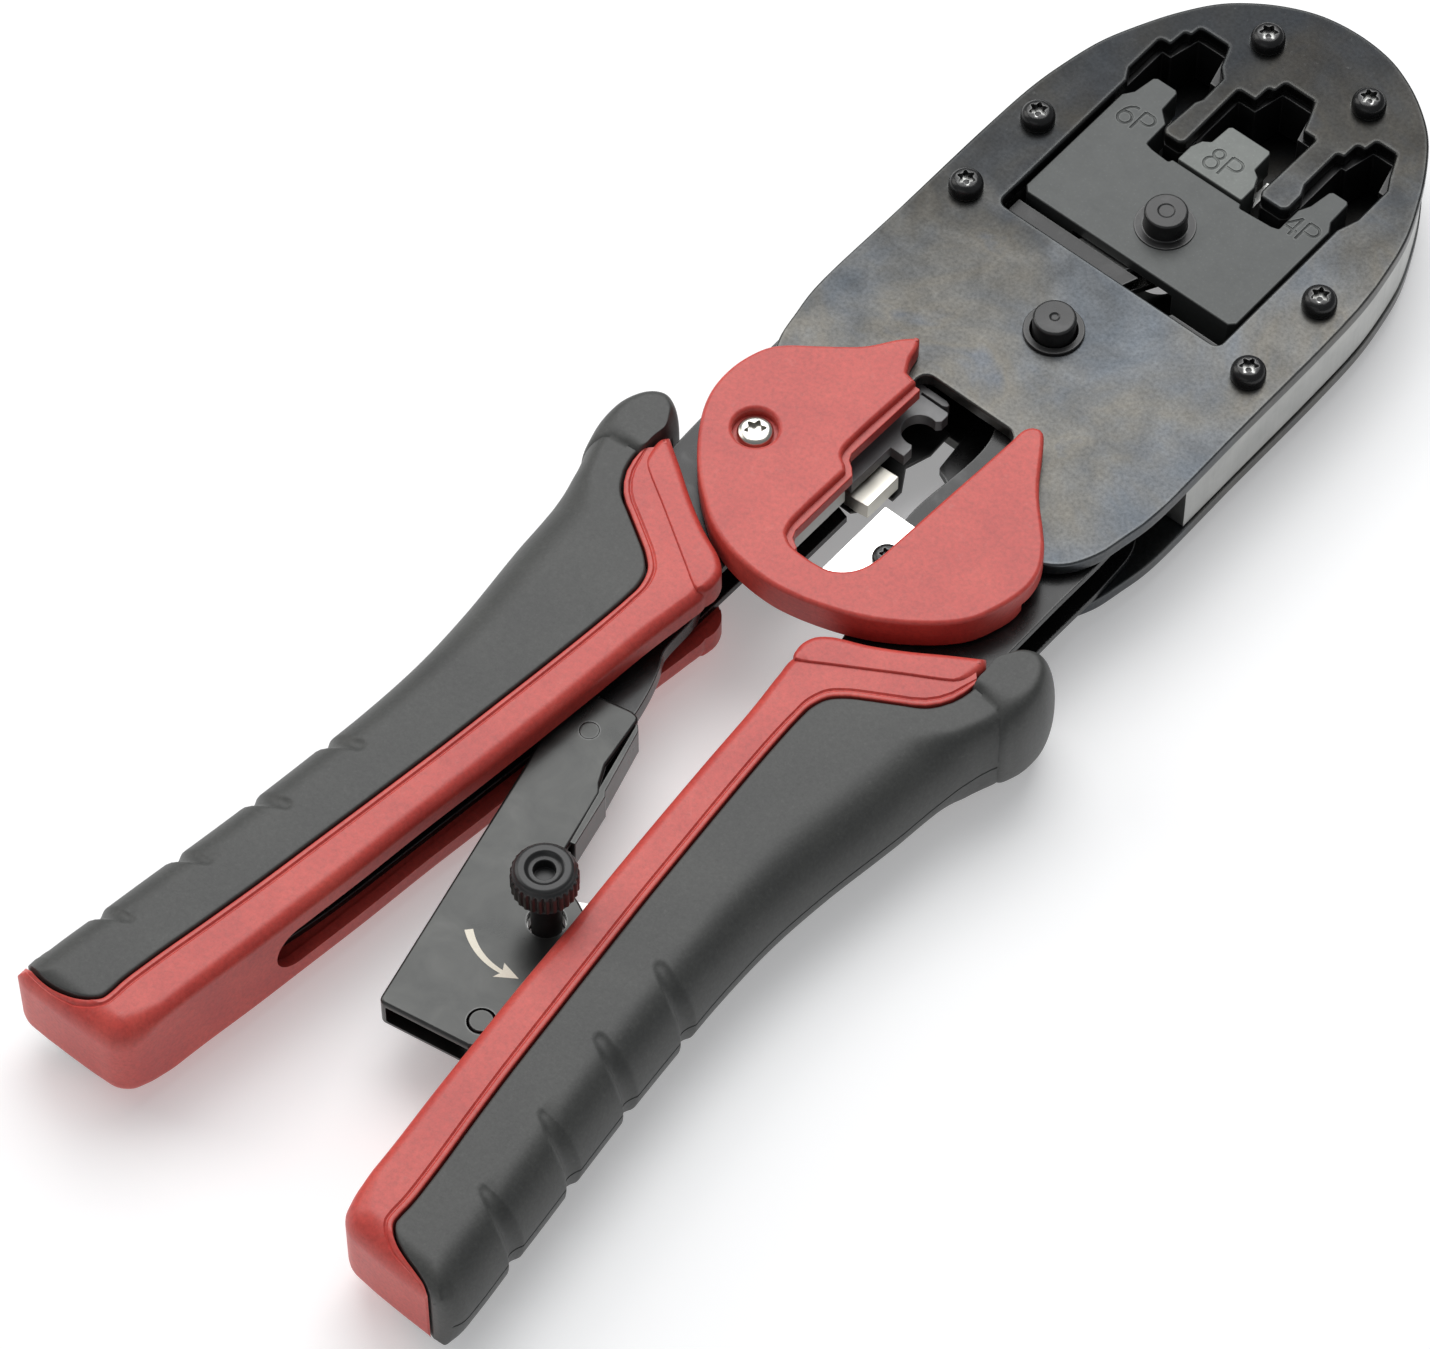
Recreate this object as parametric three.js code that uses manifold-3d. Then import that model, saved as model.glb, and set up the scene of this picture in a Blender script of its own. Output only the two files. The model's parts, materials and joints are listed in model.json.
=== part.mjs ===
// Ratcheting modular-plug crimping tool, lying flat.
// Design frame: main pivot axis at x = y = 0, middle plane z = 0, +Y to the head tip,
// +Z out of the front face, fixed handle at -X, moving handle at +X. Millimetres.
import * as THREE from 'three';
import { mergeVertices } from 'three/addons/utils/BufferGeometryUtils.js';
import Module from 'manifold-3d';

const wasm = await Module();
wasm.setup();
const { Manifold, Mesh: MMesh } = wasm;

// ---------------------------------------------------------------- driving dimensions
const ORIGIN = [0.0, 44.3, 9.0];     // design frame to part frame (part origin: middle of the underside)
const GAP = 0.3;                     // running gap between neighbouring pieces
const PLATE_OUT = 6.0;               // outer face of the head side plates
const PLATE_IN = 4.05;               // inner face of the head side plates
const CORE = 3.75;                   // half thickness of everything between the side plates
const ARM_IN = 2.65;                 // inner face of the arm plates
const SHEET_OUT = 2.35;              // outer face of the folded ratchet channel
const SHEET_IN = 1.6;                // inner face of the folded ratchet channel
const GRIP = 7.25;                   // half thickness of the grips
const GUARD_TOP = 9.0;               // outer face of the finger guard
const SLOT_MOUTH = 3.45;             // half width of the slot in a grip's inner face
const SLOT_WIDE = 4.05;              // half width of the same slot behind its lips
const PIVOT_R = 2.75;                // main pivot pin
const SLIDER_PIN = [-0.2, 22.6];     // where the link drives the slider
const CRANK = [-6.6, 11.0];          // crank pin on the lever
const RATCHET_PIVOT = [-12.0, -60.0];// pivot of the ratchet arm in the fixed handle
const KNOB = [7.4, -103.8];          // release shaft on the ratchet channel

// ---------------------------------------------------------------- small helpers
const rad = (d) => d * Math.PI / 180;
function toSolid(geometry) {
  let g = geometry.index ? geometry.toNonIndexed() : geometry.clone();
  for (const k of Object.keys(g.attributes)) if (k !== 'position') g.deleteAttribute(k);
  g = mergeVertices(g, 1e-4);
  return new Manifold(new MMesh({ numProp: 3,
    vertProperties: Float32Array.from(g.attributes.position.array),
    triVerts: Uint32Array.from(g.index.array) }));
}
function toGeometry(solid) {
  const m = solid.getMesh();
  const g = new THREE.BufferGeometry();
  g.setAttribute('position', new THREE.BufferAttribute(Float32Array.from(m.vertProperties), 3));
  g.setIndex(Array.from(m.triVerts));
  g.computeVertexNormals();
  return g;
}
const shapeOf = (pts) => new THREE.Shape(pts.map(([x, y]) => new THREE.Vector2(x, y)));
function prism(pts, z0, z1) {
  const g = new THREE.ExtrudeGeometry(shapeOf(pts), { depth: z1 - z0, bevelEnabled: false });
  g.translate(0, 0, z0);
  return toSolid(g);
}
// outline swept through levels of [z, inset]; the outline is wound counter-clockwise
function insetPolygon(pts, d) {
  const n = pts.length;
  return pts.map(([x, y], i) => {
    const p = pts[(i + n - 1) % n], q = pts[(i + 1) % n];
    let ax = x - p[0], ay = y - p[1], bx = q[0] - x, by = q[1] - y;
    const la = Math.hypot(ax, ay), lb = Math.hypot(bx, by);
    ax /= la; ay /= la; bx /= lb; by /= lb;
    let nx = -ay - by, ny = ax + bx;
    const l = Math.hypot(nx, ny);
    nx /= l; ny /= l;
    const c = Math.max(0.75, -ay * nx + ax * ny);
    return [x + nx * d / c, y + ny * d / c];
  });
}
// weight scales the inset of each outline point
function bevelPrism(outline, z0, z1, size, thick, segments, weights = null) {
  const flip = THREE.ShapeUtils.isClockWise(outline.map(([x, y]) => new THREE.Vector2(x, y)));
  const pts = flip ? [...outline].reverse() : outline;
  const w = weights ? (flip ? [...weights].reverse() : weights) : pts.map(() => 1);
  const bottom = [];
  for (let i = segments; i >= 0; i--) { const t = Math.PI / 2 * i / segments; bottom.push([z0 + thick * (1 - Math.sin(t)), size * (1 - Math.cos(t))]); }
  const all = [...bottom, ...bottom.map(([z, d]) => [z0 + z1 - z, d]).reverse()];
  const n = pts.length, pos = [], idx = [];
  const unit = insetPolygon(pts, 1).map(([x, y], i) => [x - pts[i][0], y - pts[i][1]]);
  for (const [z, d] of all) pts.forEach(([x, y], i) => pos.push(x + unit[i][0] * d * w[i], y + unit[i][1] * d * w[i], z));
  for (let k = 0; k < all.length - 1; k++) for (let i = 0; i < n; i++) {
    const j = (i + 1) % n, p = k * n + i, q = k * n + j, r = p + n, t = q + n;
    idx.push(p, q, t, p, t, r);
  }
  const cap = (k) => THREE.ShapeUtils.triangulateShape(Array.from({ length: n }, (_, i) => new THREE.Vector2(pos[3 * (k * n + i)], pos[3 * (k * n + i) + 1])), []);
  const last = all.length - 1;
  for (const [p, q, r] of cap(0)) idx.push(p, r, q);
  for (const [p, q, r] of cap(last)) idx.push(last * n + p, last * n + q, last * n + r);
  return new Manifold(new MMesh({ numProp: 3, vertProperties: Float32Array.from(pos), triVerts: Uint32Array.from(idx) }));
}
function rod(x, y, z0, z1, r, sides = 24, r2 = r) {
  const g = new THREE.CylinderGeometry(r2, r, z1 - z0, sides);
  g.rotateX(Math.PI / 2);
  g.translate(x, y, (z0 + z1) / 2);
  return toSolid(g);
}
function block(x0, x1, y0, y1, z0, z1) {
  const g = new THREE.BoxGeometry(x1 - x0, y1 - y0, z1 - z0);
  g.translate((x0 + x1) / 2, (y0 + y1) / 2, (z0 + z1) / 2);
  return toSolid(g);
}
function lathe(x, y, profile, sides) {       // profile of [radius, z], closed on the axis
  const g = new THREE.LatheGeometry(profile.map(([r, z]) => new THREE.Vector2(r, z)), sides);
  g.rotateX(Math.PI / 2);
  g.translate(x, y, 0);
  return toSolid(g);
}
const mirror = (pts) => pts.map(([x, y]) => [-x, y]).reverse();
// polygon with rounded corners; each point is [x, y, radius]
function rounded(pts, steps = 4) {
  const out = [];
  const n = pts.length;
  for (let i = 0; i < n; i++) {
    const [x, y, r = 0] = pts[i];
    if (!r) { out.push([x, y]); continue; }
    const p = pts[(i + n - 1) % n], q = pts[(i + 1) % n];
    const a = new THREE.Vector2(p[0] - x, p[1] - y), b = new THREE.Vector2(q[0] - x, q[1] - y);
    const la = a.length(), lb = b.length();
    a.normalize(); b.normalize();
    const half = Math.acos(Math.max(-1, Math.min(1, a.dot(b)))) / 2;
    const t = Math.min(r / Math.tan(half), la * 0.49, lb * 0.49);
    const s = new THREE.Vector2(x, y).addScaledVector(a, t), e = new THREE.Vector2(x, y).addScaledVector(b, t);
    const c = new THREE.QuadraticBezierCurve(s, new THREE.Vector2(x, y), e);
    for (const v of c.getPoints(steps)) out.push([v.x, v.y]);
  }
  return out;
}

const tool = new THREE.Group();
tool.name = 'crimping_tool';
function add(name, solid, color, roughness, metalness) {
  const mesh = new THREE.Mesh(toGeometry(solid), new THREE.MeshStandardMaterial({ color, roughness, metalness }));
  mesh.name = name;
  mesh.position.set(...ORIGIN);
  tool.add(mesh);
}
const GUNMETAL = 0x55585c, OXIDE = 0x2b2c2e, STEEL = 0x9a9b9d, BRIGHT = 0xd8d8d6, SLIDER = 0x63666a;
const RED = 0xc23a34, BLACK = 0x3a3c3b, INSERT = 0x9aa09c;

// ---------------------------------------------------------------- head outline
const headRight = [[5.3, 61.9], [9.3, 60.4], [13.0, 58.2], [16.7, 55], [20, 50.3], [22.7, 45], [24.7, 40], [26, 34],
  [26.7, 28.7], [27, 20], [27, -14], [26.3, -18.5], [25.3, -24], [23.6, -27.3], [20.6, -29.5]];
const headLeft = headRight.map(([x, y]) => [-x, y]).reverse();
const notch = rounded([[6.5, -30.0], [6.5, -15.2, 1.5], [-8.2, -15.2, 1.5], [-8.2, -30.0]]);
const headOutline = [...headRight, [6.5, -29.5], ...notch.slice(1, -1), [-8.2, -29.5], ...headLeft, [0, 62.5]];
// head_plate window: slider opening plus the three stepped plug cavities above it
const windowOutline = [...rounded([[-18, 37.2], [-18, 11.3, 1.2], [17, 11.3, 1.2], [17, 35.5]], 3),
  [18, 38.5], [18, 44.6], [17, 46.4], [16.2, 48.2], [15.4, 50], [12.3, 50], [12.0, 48], [10.8, 48], [10.7, 45.3], [9.7, 45.3],
  [9.7, 38.6], [10.4, 37], [10.4, 34.2], [9.7, 33.5], [6.6, 33.5], [6.0, 34.2], [6.2, 45.3], [4.1, 45.3], [3.4, 47.3], [2.3, 50],
  [-2.3, 50], [-2.6, 48], [-3.4, 48], [-3.5, 45.3], [-6.2, 45.3], [-6.1, 34.2], [-6.7, 33.5], [-8.9, 33.5], [-9.6, 34.2], [-9.3, 40], [-8.8, 41],
  [-8.9, 45.3], [-10.3, 46.7], [-11.6, 50], [-16.1, 50], [-16.3, 48.3], [-17.2, 48.2], [-17.4, 45.4], [-19, 45.3], [-19, 39]];
const SCREWS = [[22.57, 10.28], [22.57, 24.66], [8.13, 53.68], [-8.13, 53.68], [-22.57, 24.66], [-22.57, 10.28]];
const ARM_RIVETS = [[-13.8, -24.0], [-19.8, -26.2]];
const drill = (s, list, r, z0, z1, sides = 12) => list.reduce((m, [x, y]) => m.subtract(rod(x, y, z0, z1, r, sides)), s);

let front = prism(headOutline, PLATE_IN, PLATE_OUT).subtract(prism(windowOutline, 0, 10));
front = drill(front, SCREWS, 1.9, 0, 10);
front = drill(front, ARM_RIVETS, 1.8, 0, 10, 12);
front = front.subtract(rod(0, 0, 0, 10, PIVOT_R + 0.25, 20));
add('head_plate_front', front, GUNMETAL, 0.4, 0.85);
let back = prism(headOutline, -PLATE_OUT, -PLATE_IN);
back = drill(back, SCREWS, 1.9, -10, 0);
back = drill(back, ARM_RIVETS, 1.8, -10, 0, 12);
back = back.subtract(rod(0, 0, -10, 0, PIVOT_R + 0.25, 20));
// clearance slot for the slider pin's back end
back = back.subtract(prism(rounded([[-3.6, 18.6, 3.2], [3.2, 18.6, 3.2], [3.2, 28.6, 3.2], [-3.6, 28.6, 3.2]]), -10, 0));
add('head_plate_back', back, GUNMETAL, 0.4, 0.85);

// spacer band between the plates, round the tip and down both sides
const inset = (pts, d) => pts.map(([x, y]) => { const l = Math.hypot(x, y - 20) || 1; return [x - d * x / l, y - d * (y - 20) / l]; });
const bandOuter = [[27, -7.3], ...headRight.filter(([, y]) => y > -7).reverse(), [0, 62.5], ...headLeft.filter(([, y]) => y > -7).reverse(), [-27, -7.3]];
let spacer = prism(inset(bandOuter, 0.25), -CORE, CORE);
spacer = spacer.subtract(prism([[-18.2, -9], [18.2, -9], [18.2, 36.0], [20.2, 38.0], [20.2, 46.2], [16.6, 52.6], [13.6, 54.2], [12.0, 54.2],
  [10.8, 50.9], [5.4, 50.9], [4.2, 54.2], [-4.2, 54.2], [-5.4, 50.9], [-10.8, 50.9], [-12, 54.2], [-13.6, 54.2], [-16.6, 52.6], [-20.2, 46.2], [-20.2, 38.0], [-18.2, 36.0]], -10, 10));
spacer = drill(spacer, SCREWS, 1.9, -10, 10);
add('head_spacer', spacer, STEEL, 0.45, 0.8);

// fixed die nest: three stepped cavities between the plates
let nest = prism([[-19.9, 38.1], [-18.1, 36.4], [-9.7, 36.4], [-9.6, 34.2], [-8.9, 33.5], [-6.7, 33.5], [-6.1, 34.2], [-6.1, 36.4], [6.1, 36.4],
  [6.0, 34.2], [6.6, 33.5], [9.7, 33.5], [10.4, 34.2], [10.4, 36.4], [18.0, 36.4], [19.9, 38.1], [19.9, 46.1], [16.4, 52.4], [13.5, 53.9], [12.2, 53.9],
  [11.0, 50.6], [5.2, 50.6], [4.0, 53.9], [-4.0, 53.9], [-5.2, 50.6], [-11.0, 50.6], [-12.2, 53.9], [-13.5, 53.9], [-16.4, 52.4], [-19.9, 46.1]], -CORE, CORE);
const cavity = (x0, x1, y, t0, t1, top) => prism([[x0, 30], [x1, 30], [x1, y], [t1 + 1.2, y], [t1, top], [t0, top], [t0 - 1.0, y], [x0, y]], -10, 10);
nest = nest.subtract(cavity(-18.4, -9.4, 45.1, -16.0, -11.8, 49.6));
nest = nest.subtract(cavity(-5.9, 5.9, 45.1, -2.3, 2.3, 49.6));
nest = nest.subtract(cavity(10.6, 17.6, 45.1, 12.3, 15.3, 49.6));
add('die_nest', nest, OXIDE, 0.5, 0.8);

// ---------------------------------------------------------------- slider (moving die block) and its inserts
const sliderOutline = [[-16.8, 15.5], [15.4, 15.5], [16.2, 16.3], [16.2, 35.2], [15.4, 36.6], [15.3, 40.2], [14.9, 40.6], [12.7, 40.6], [12.3, 40.2], [11.8, 37], [11.0, 35.4],
  [11.0, 31.5], [10.0, 31.2], [5.2, 30.9], [5.0, 31.5], [-6.1, 31.5], [-6.2, 30.9], [-9.0, 31.1], [-10.1, 31.4], [-10.2, 35.4], [-12.0, 37], [-12.2, 40.2], [-12.6, 40.6], [-15.6, 40.6], [-16.1, 40.2],
  [-16.6, 37], [-17.6, 35.6], [-17.6, 16.3]];
let slider = prism(sliderOutline, -CORE, 5.0);
slider = slider.subtract(block(-9.4, 6.6, 14, 27.4, -10, 3.3));            // pocket for the toggle links
slider = slider.subtract(rod(...SLIDER_PIN, -10, 10, 1.95, 24));
slider = slider.subtract(block(-18, 17, 34.4, 42, -10, 0.4).subtract(block(-20, 20, 30, 34.3, -11, 1))); // step under the tongues
add('slider_block', slider, SLIDER, 0.6, 0.75);
const punch = (pts, z0, z1) => prism(pts, z0, z1);
add('cord_clamp_8p', punch([[-5.6, 31.9], [4.7, 31.9], [4.7, 34.6], [4.0, 36.2], [3.0, 36.9], [2.9, 40.1], [2.6, 40.5], [-3.4, 40.5], [-3.8, 40.1], [-4.0, 36.9], [-5.0, 36.2], [-5.6, 34.6]], 0.7, 5.1), INSERT, 0.55, 0.7);
// contact combs that press the plug contacts, deep in each cavity
function comb(x0, x1, n, y0) {
  let s = block(x0, x1, y0, 39.6, -3.6, 0.1);
  const w = (x1 - x0) / (2 * n + 1);
  for (let i = 0; i <= n; i++) s = s.subtract(block(x0 + 2 * i * w - 0.01 - (i ? 0 : 1), x0 + (2 * i + 1) * w + (i === n ? 1 : 0), 37.6, 45, -10, 10));
  return s;
}
add('contact_comb_8p', comb(-5.2, 4.4, 8, 34.7), STEEL, 0.35, 0.9);
add('contact_comb_6p', comb(-17.0, -10.6, 6, 34.7), STEEL, 0.35, 0.9);
add('contact_comb_4p', comb(11.4, 15.8, 4, 34.7), STEEL, 0.35, 0.9);
add('slider_pin', lathe(...SLIDER_PIN, [[0, -5.6], [1.5, -5.6], [1.65, -5.4], [1.65, 5.06], [3.95, 5.06], [3.95, 5.2], [2.8, 5.2], [2.8, 7.7], [2.5, 8.1], [0, 8.1]], 20), OXIDE, 0.4, 0.85);
add('slide_stop_strip', prism([[-17.4, 10.0], [16.3, 10.0], [16.3, 13.0], [8.6, 13.0], [8.0, 11.4], [0.6, 11.4], [1.9, 14.7], [-17.4, 14.7]], 3.3, CORE), OXIDE, 0.35, 0.8);

// ---------------------------------------------------------------- toggle drive
const capsule = (a, b, r, steps = 6) => {
  const ang = Math.atan2(b[1] - a[1], b[0] - a[0]);
  const pts = [];
  for (let i = 0; i <= steps; i++) { const t = ang - Math.PI / 2 + Math.PI * i / steps; pts.push([b[0] + r * Math.cos(t), b[1] + r * Math.sin(t)]); }
  for (let i = 0; i <= steps; i++) { const t = ang + Math.PI / 2 + Math.PI * i / steps; pts.push([a[0] + r * Math.cos(t), a[1] + r * Math.sin(t)]); }
  return pts;
};
for (const [name, z0, z1] of [['toggle_link_front', 1.9, 3.0], ['toggle_link_back', -3.0, -1.9]]) {
  add(name, prism(capsule(CRANK, SLIDER_PIN, 3.3), z0, z1).subtract(rod(...CRANK, -10, 10, 2.0, 20)).subtract(rod(...SLIDER_PIN, -10, 10, 2.1, 20)), BRIGHT, 0.3, 0.95);
}
let hub = prism(capsule([0, 0], CRANK, 3.6), -1.6, 1.6).add(rod(0, 0, -1.6, 1.6, 7.6, 32)).add(prism([[-3.2, -4], [11, 2], [16, -14], [16, -22], [9, -22], [4.5, -16], [-0.5, -9]], -1.6, 1.6));
hub = hub.subtract(rod(0, 0, -10, 10, PIVOT_R + 0.3, 20)).subtract(rod(...CRANK, -10, 10, 2.0, 20)).subtract(rod(13.0, -18.0, -10, 10, 1.8, 14));
add('lever_hub', hub, OXIDE, 0.5, 0.8);
add('crank_pin', lathe(...CRANK, [[0, -3.2], [1.7, -3.2], [1.7, 3.2], [0, 3.2]], 20), BRIGHT, 0.3, 0.95);
add('pivot_pin', lathe(0, 0, [[0, -9.0], [2.5, -9.0], [PIVOT_R, -8.7], [PIVOT_R, 8.6], [2.45, 9.0], [0, 9.0]], 20), OXIDE, 0.4, 0.85);
{
  // torsion spring that opens the handles: one turn round the pivot pin and a leg to the fixed side
  class Torsion extends THREE.Curve {
    getPoint(t, target = new THREE.Vector3()) {
      if (t > 0.8) { const u = (t - 0.8) / 0.2; return target.set(-4.5 - 4.3 * u, -0.2 - 8.0 * u, -2.12); }
      const a = Math.PI * 1.06 - 2 * Math.PI * 0.92 * (1 - t / 0.8);
      return target.set(4.5 * Math.cos(a), 4.5 * Math.sin(a), -2.12);
    }
  }
  const sec = new THREE.Shape(Array.from({ length: 5 }, (_, i) => new THREE.Vector2(0.36 * Math.cos(i * Math.PI * 0.4), 0.36 * Math.sin(i * Math.PI * 0.4))));
  add('return_spring', toSolid(new THREE.ExtrudeGeometry(sec, { steps: 25, extrudePath: new Torsion(), bevelEnabled: false })), BRIGHT, 0.3, 0.95);
}
for (const [name, z0, z1] of [['pivot_washer_front', 6.05, 6.5], ['pivot_washer_back', -6.5, -6.05]])
  add(name, rod(0, 0, z0, z1, 3.9, 20).subtract(rod(0, 0, -10, 10, PIVOT_R + 0.25, 20)), OXIDE, 0.4, 0.85);

// ---------------------------------------------------------------- arms
// moving lever plates, from the pivot down into the right grip
const leverOutline = [[-7.4, 1.2], [-5.6, 4.9], [-1.8, 7.2], [2.6, 7.0], [9, 3.5], [15.4, -3.5], [17.5, -8.0], [21.8, -10.5], [25.3, -18], [25.3, -42], [24.8, -50], [22.4, -76], [22.1, -96], [22.6, -108], [23.8, -118], [24.8, -134],
  [19.8, -136], [16.0, -122], [13.0, -98], [10.6, -76], [9.5, -56], [6.8, -44], [3.3, -33], [3.3, -16], [-3.6, -6.8]];
for (const [name, z0, z1] of [['lever_plate_front', ARM_IN, CORE], ['lever_plate_back', -CORE, -ARM_IN]]) {
  let s = prism(leverOutline, z0, z1);
  if (z0 < 0) s = s.add(prism([[3.8, -23.4], [1.6, -21.8], [-1.2, -20.6], [-2.2, -12], [-2.0, -8], [6, -8]], z0, z1)); // rear web across the notch
  s = s.subtract(rod(0, 0, -10, 10, PIVOT_R + 0.3, 20));
  s = drill(s, [[13, -18], [20.4, -110], [20.0, -100], [21.5, -132]], 1.8, -10, 10, 14);
  if (z0 > 0) s = s.subtract(rod(3.2 + 2.6, -39.3, -10, 10, 1.25, 14));
  add(name, s, OXIDE, 0.45, 0.85);
}
// fixed arm plates, riveted between the head plates, down into the left grip
const armOutline = [[-9.1, -9.0], [-17.6, -8.0], [-25.6, -8.4], [-26.2, -18], [-25.5, -42], [-24.8, -50], [-22.4, -76], [-22.1, -96], [-22.6, -108], [-23.8, -118], [-24.8, -134],
  [-19.8, -136], [-16.0, -122], [-13.0, -98], [-10.6, -76], [-9.3, -62], [-9.0, -52]];
for (const [name, z0, z1] of [['fixed_arm_front', ARM_IN, CORE], ['fixed_arm_back', -CORE, -ARM_IN]]) {
  let s = prism(armOutline, z0, z1);
  s = drill(s, [...ARM_RIVETS, [-21.5, -132]], 1.8, -10, 10, 14);
  s = s.subtract(rod(...RATCHET_PIVOT, -10, 10, 2.3, 20));
  s = s.subtract(rod(-17.25, -37, -10, 10, 1.6, 14));
  if (z0 < 0) s = s.add(prism([[-10.5, -32.0], [-5.2, -33.6], [-5.2, -47.4], [-10.5, -49.5]], z0, z1));   // rest behind the cutter
  add(name, s, OXIDE, 0.45, 0.85);
}
const rivet = (x, y, z0, z1, head0, head1, r = 1.5) => lathe(x, y, [[0, z0 - head0], [head0 ? r + 0.7 : r, z0 - head0], [head0 ? r + 0.7 : r, z0], [r, z0], [r, z1], [head1 ? r + 0.7 : r, z1], [head1 ? r + 0.7 : r, z1 + head1], [0, z1 + head1]]
  .filter((p, i, a) => !i || p[0] !== a[i - 1][0] || p[1] !== a[i - 1][1]), 10);
add('arm_rivet_1', rivet(...ARM_RIVETS[0], -6.0, 6.0, 0, 0), STEEL, 0.4, 0.9);
add('arm_rivet_2', rivet(...ARM_RIVETS[1], -6.0, 6.0, 0, 0), STEEL, 0.4, 0.9);
add('fixed_arm_spacer', prism([[-9.4, -9.6], [-24.8, -9.0], [-25.4, -18], [-25.4, -40], [-20.5, -41.5], [-20.5, -31], [-12.2, -31], [-11.2, -20]], -SHEET_OUT, 1.6)
  .subtract(rod(...ARM_RIVETS[0], -10, 10, 1.8, 14)).subtract(rod(...ARM_RIVETS[1], -10, 10, 1.8, 14)), OXIDE, 0.5, 0.8);
add('lever_rivet_upper', rivet(13, -18, -3.7, 3.7, 0, 0), STEEL, 0.4, 0.9);
add('lever_rivet_lower', rivet(21.5, -132, -3.7, 3.7, 0, 0), STEEL, 0.4, 0.9);
add('fixed_arm_rivet_lower', rivet(-21.5, -132, -3.7, 3.7, 0, 0), STEEL, 0.4, 0.9);
add('ratchet_pivot_pin', lathe(...RATCHET_PIVOT, [[0, -3.7], [2.0, -3.7], [2.0, 3.7], [0, 3.7]], 20), STEEL, 0.4, 0.9);

// ---------------------------------------------------------------- ratchet rack in the moving handle
const RACK0 = [13.3, -96.9], RACK1 = [16.9, -103.6];
const rackPts = [[17.4, -94.4], [21.8, -96.4], [22.2, -112.5], [18.6, -113], [17.9, -106.5], [RACK1[0], RACK1[1] - 0.8]];
{
  const n = 8, dx = (RACK0[0] - RACK1[0]) / n, dy = (RACK0[1] - RACK1[1]) / n, l = Math.hypot(dx, dy);
  const nx = -dy / l * 0.75, ny = dx / l * 0.75;      // tooth height, towards the pawl
  for (let i = 0; i < n; i++) {
    rackPts.push([RACK1[0] + i * dx, RACK1[1] + i * dy]);
    rackPts.push([RACK1[0] + (i + 0.85) * dx + nx * -1, RACK1[1] + (i + 0.85) * dy - ny * 1]);
  }
  rackPts.push([RACK0[0], RACK0[1]], [14.2, -95.4]);
}
const rackClean = rackPts;
add('ratchet_rack', prism(rackClean, -1.2, 1.2).subtract(rod(20.4, -110, -10, 10, 1.8, 10)).subtract(rod(20.0, -100, -10, 10, 1.8, 10)), STEEL, 0.4, 0.9);
add('rack_rivet_1', rivet(20.0, -100, -3.7, 3.7, 0, 0), STEEL, 0.4, 0.9);
add('rack_rivet_2', rivet(20.4, -110, -3.7, 3.7, 0, 0), STEEL, 0.4, 0.9);

// ---------------------------------------------------------------- swinging ratchet arm
const sheetTop = rounded([[-12.6, -75.9, 1.2], [-8.9, -75.9], [-4.4, -74.9], [-3.0, -75.1, 1], [-1.7, -82.8], [-0.5, -85.2], [0.4, -86.2], [2.4, -94.2], [3.2, -97.6], [8.5, -99.3], [13.6, -101.6], [14.6, -120.9, 2], [11.7, -122.6], [-0.35, -124.8, 0.8], [-8.9, -89.6]]);
const webOuter = [[-12.6, -75.9], [-8.9, -89.6], [-0.35, -124.8]];
const webPoly = [[-12.6, -75.9], [-8.9, -89.6], [-0.35, -124.8], [0.55, -124.6], [-8.05, -89.4], [-11.8, -75.9]];
let channel = prism(sheetTop, -SHEET_OUT, SHEET_OUT).subtract(prism([[-12.2, -60], [-11.6, -76.3], [-8.0, -89.5], [0.6, -124.4], [0.9, -130], [30, -130], [30, -60]], -SHEET_IN, SHEET_IN));
// folded side lip on the upper right edge
channel = channel.add(prism([[-2.9, -75.6], [-1.9, -76.6], [0.7, -85.6], [1.2, -86.2], [2.95, -93.6], [2.2, -93.8], [0.3, -86.6], [-0.2, -85.7], [-2.6, -76.6]], -SHEET_OUT, SHEET_OUT - 0.1));
channel = channel.subtract(rod(...KNOB, -10, 10, 2.4, 22)).subtract(rod(-6.4, -80.4, -10, 10, 1.5, 12)).subtract(rod(10.7, -119.0, -10, 10, 1.8, 14));
add('ratchet_channel', channel, OXIDE, 0.3, 0.75);
let bar = prism([[-16.2, -58.6], [-14.3, -56.2], [-12, -55.5], [-9.8, -56.1], [-8.2, -58.4], [-7.5, -65.5], [-6.4, -67.5], [-5.35, -70.2], [-4.55, -73.0], [-4.0, -75.7], [-3.3, -82.4], [-6.6, -84.2], [-9.2, -81.5], [-11.4, -75], [-14.6, -66]], -1.25, 1.25);
bar = bar.subtract(rod(...RATCHET_PIVOT, -10, 10, 2.3, 20)).subtract(rod(-6.4, -80.4, -10, 10, 1.5, 12));
add('ratchet_bar', bar, OXIDE, 0.35, 0.8);
add('ratchet_bar_rivet', rivet(-6.4, -80.4, -2.35, 2.35, 0, 0, 1.2), OXIDE, 0.4, 0.9);
add('channel_rivet', rivet(10.7, -119.0, -2.3, 2.5, 0, 0, 1.5), OXIDE, 0.4, 0.9);

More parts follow.
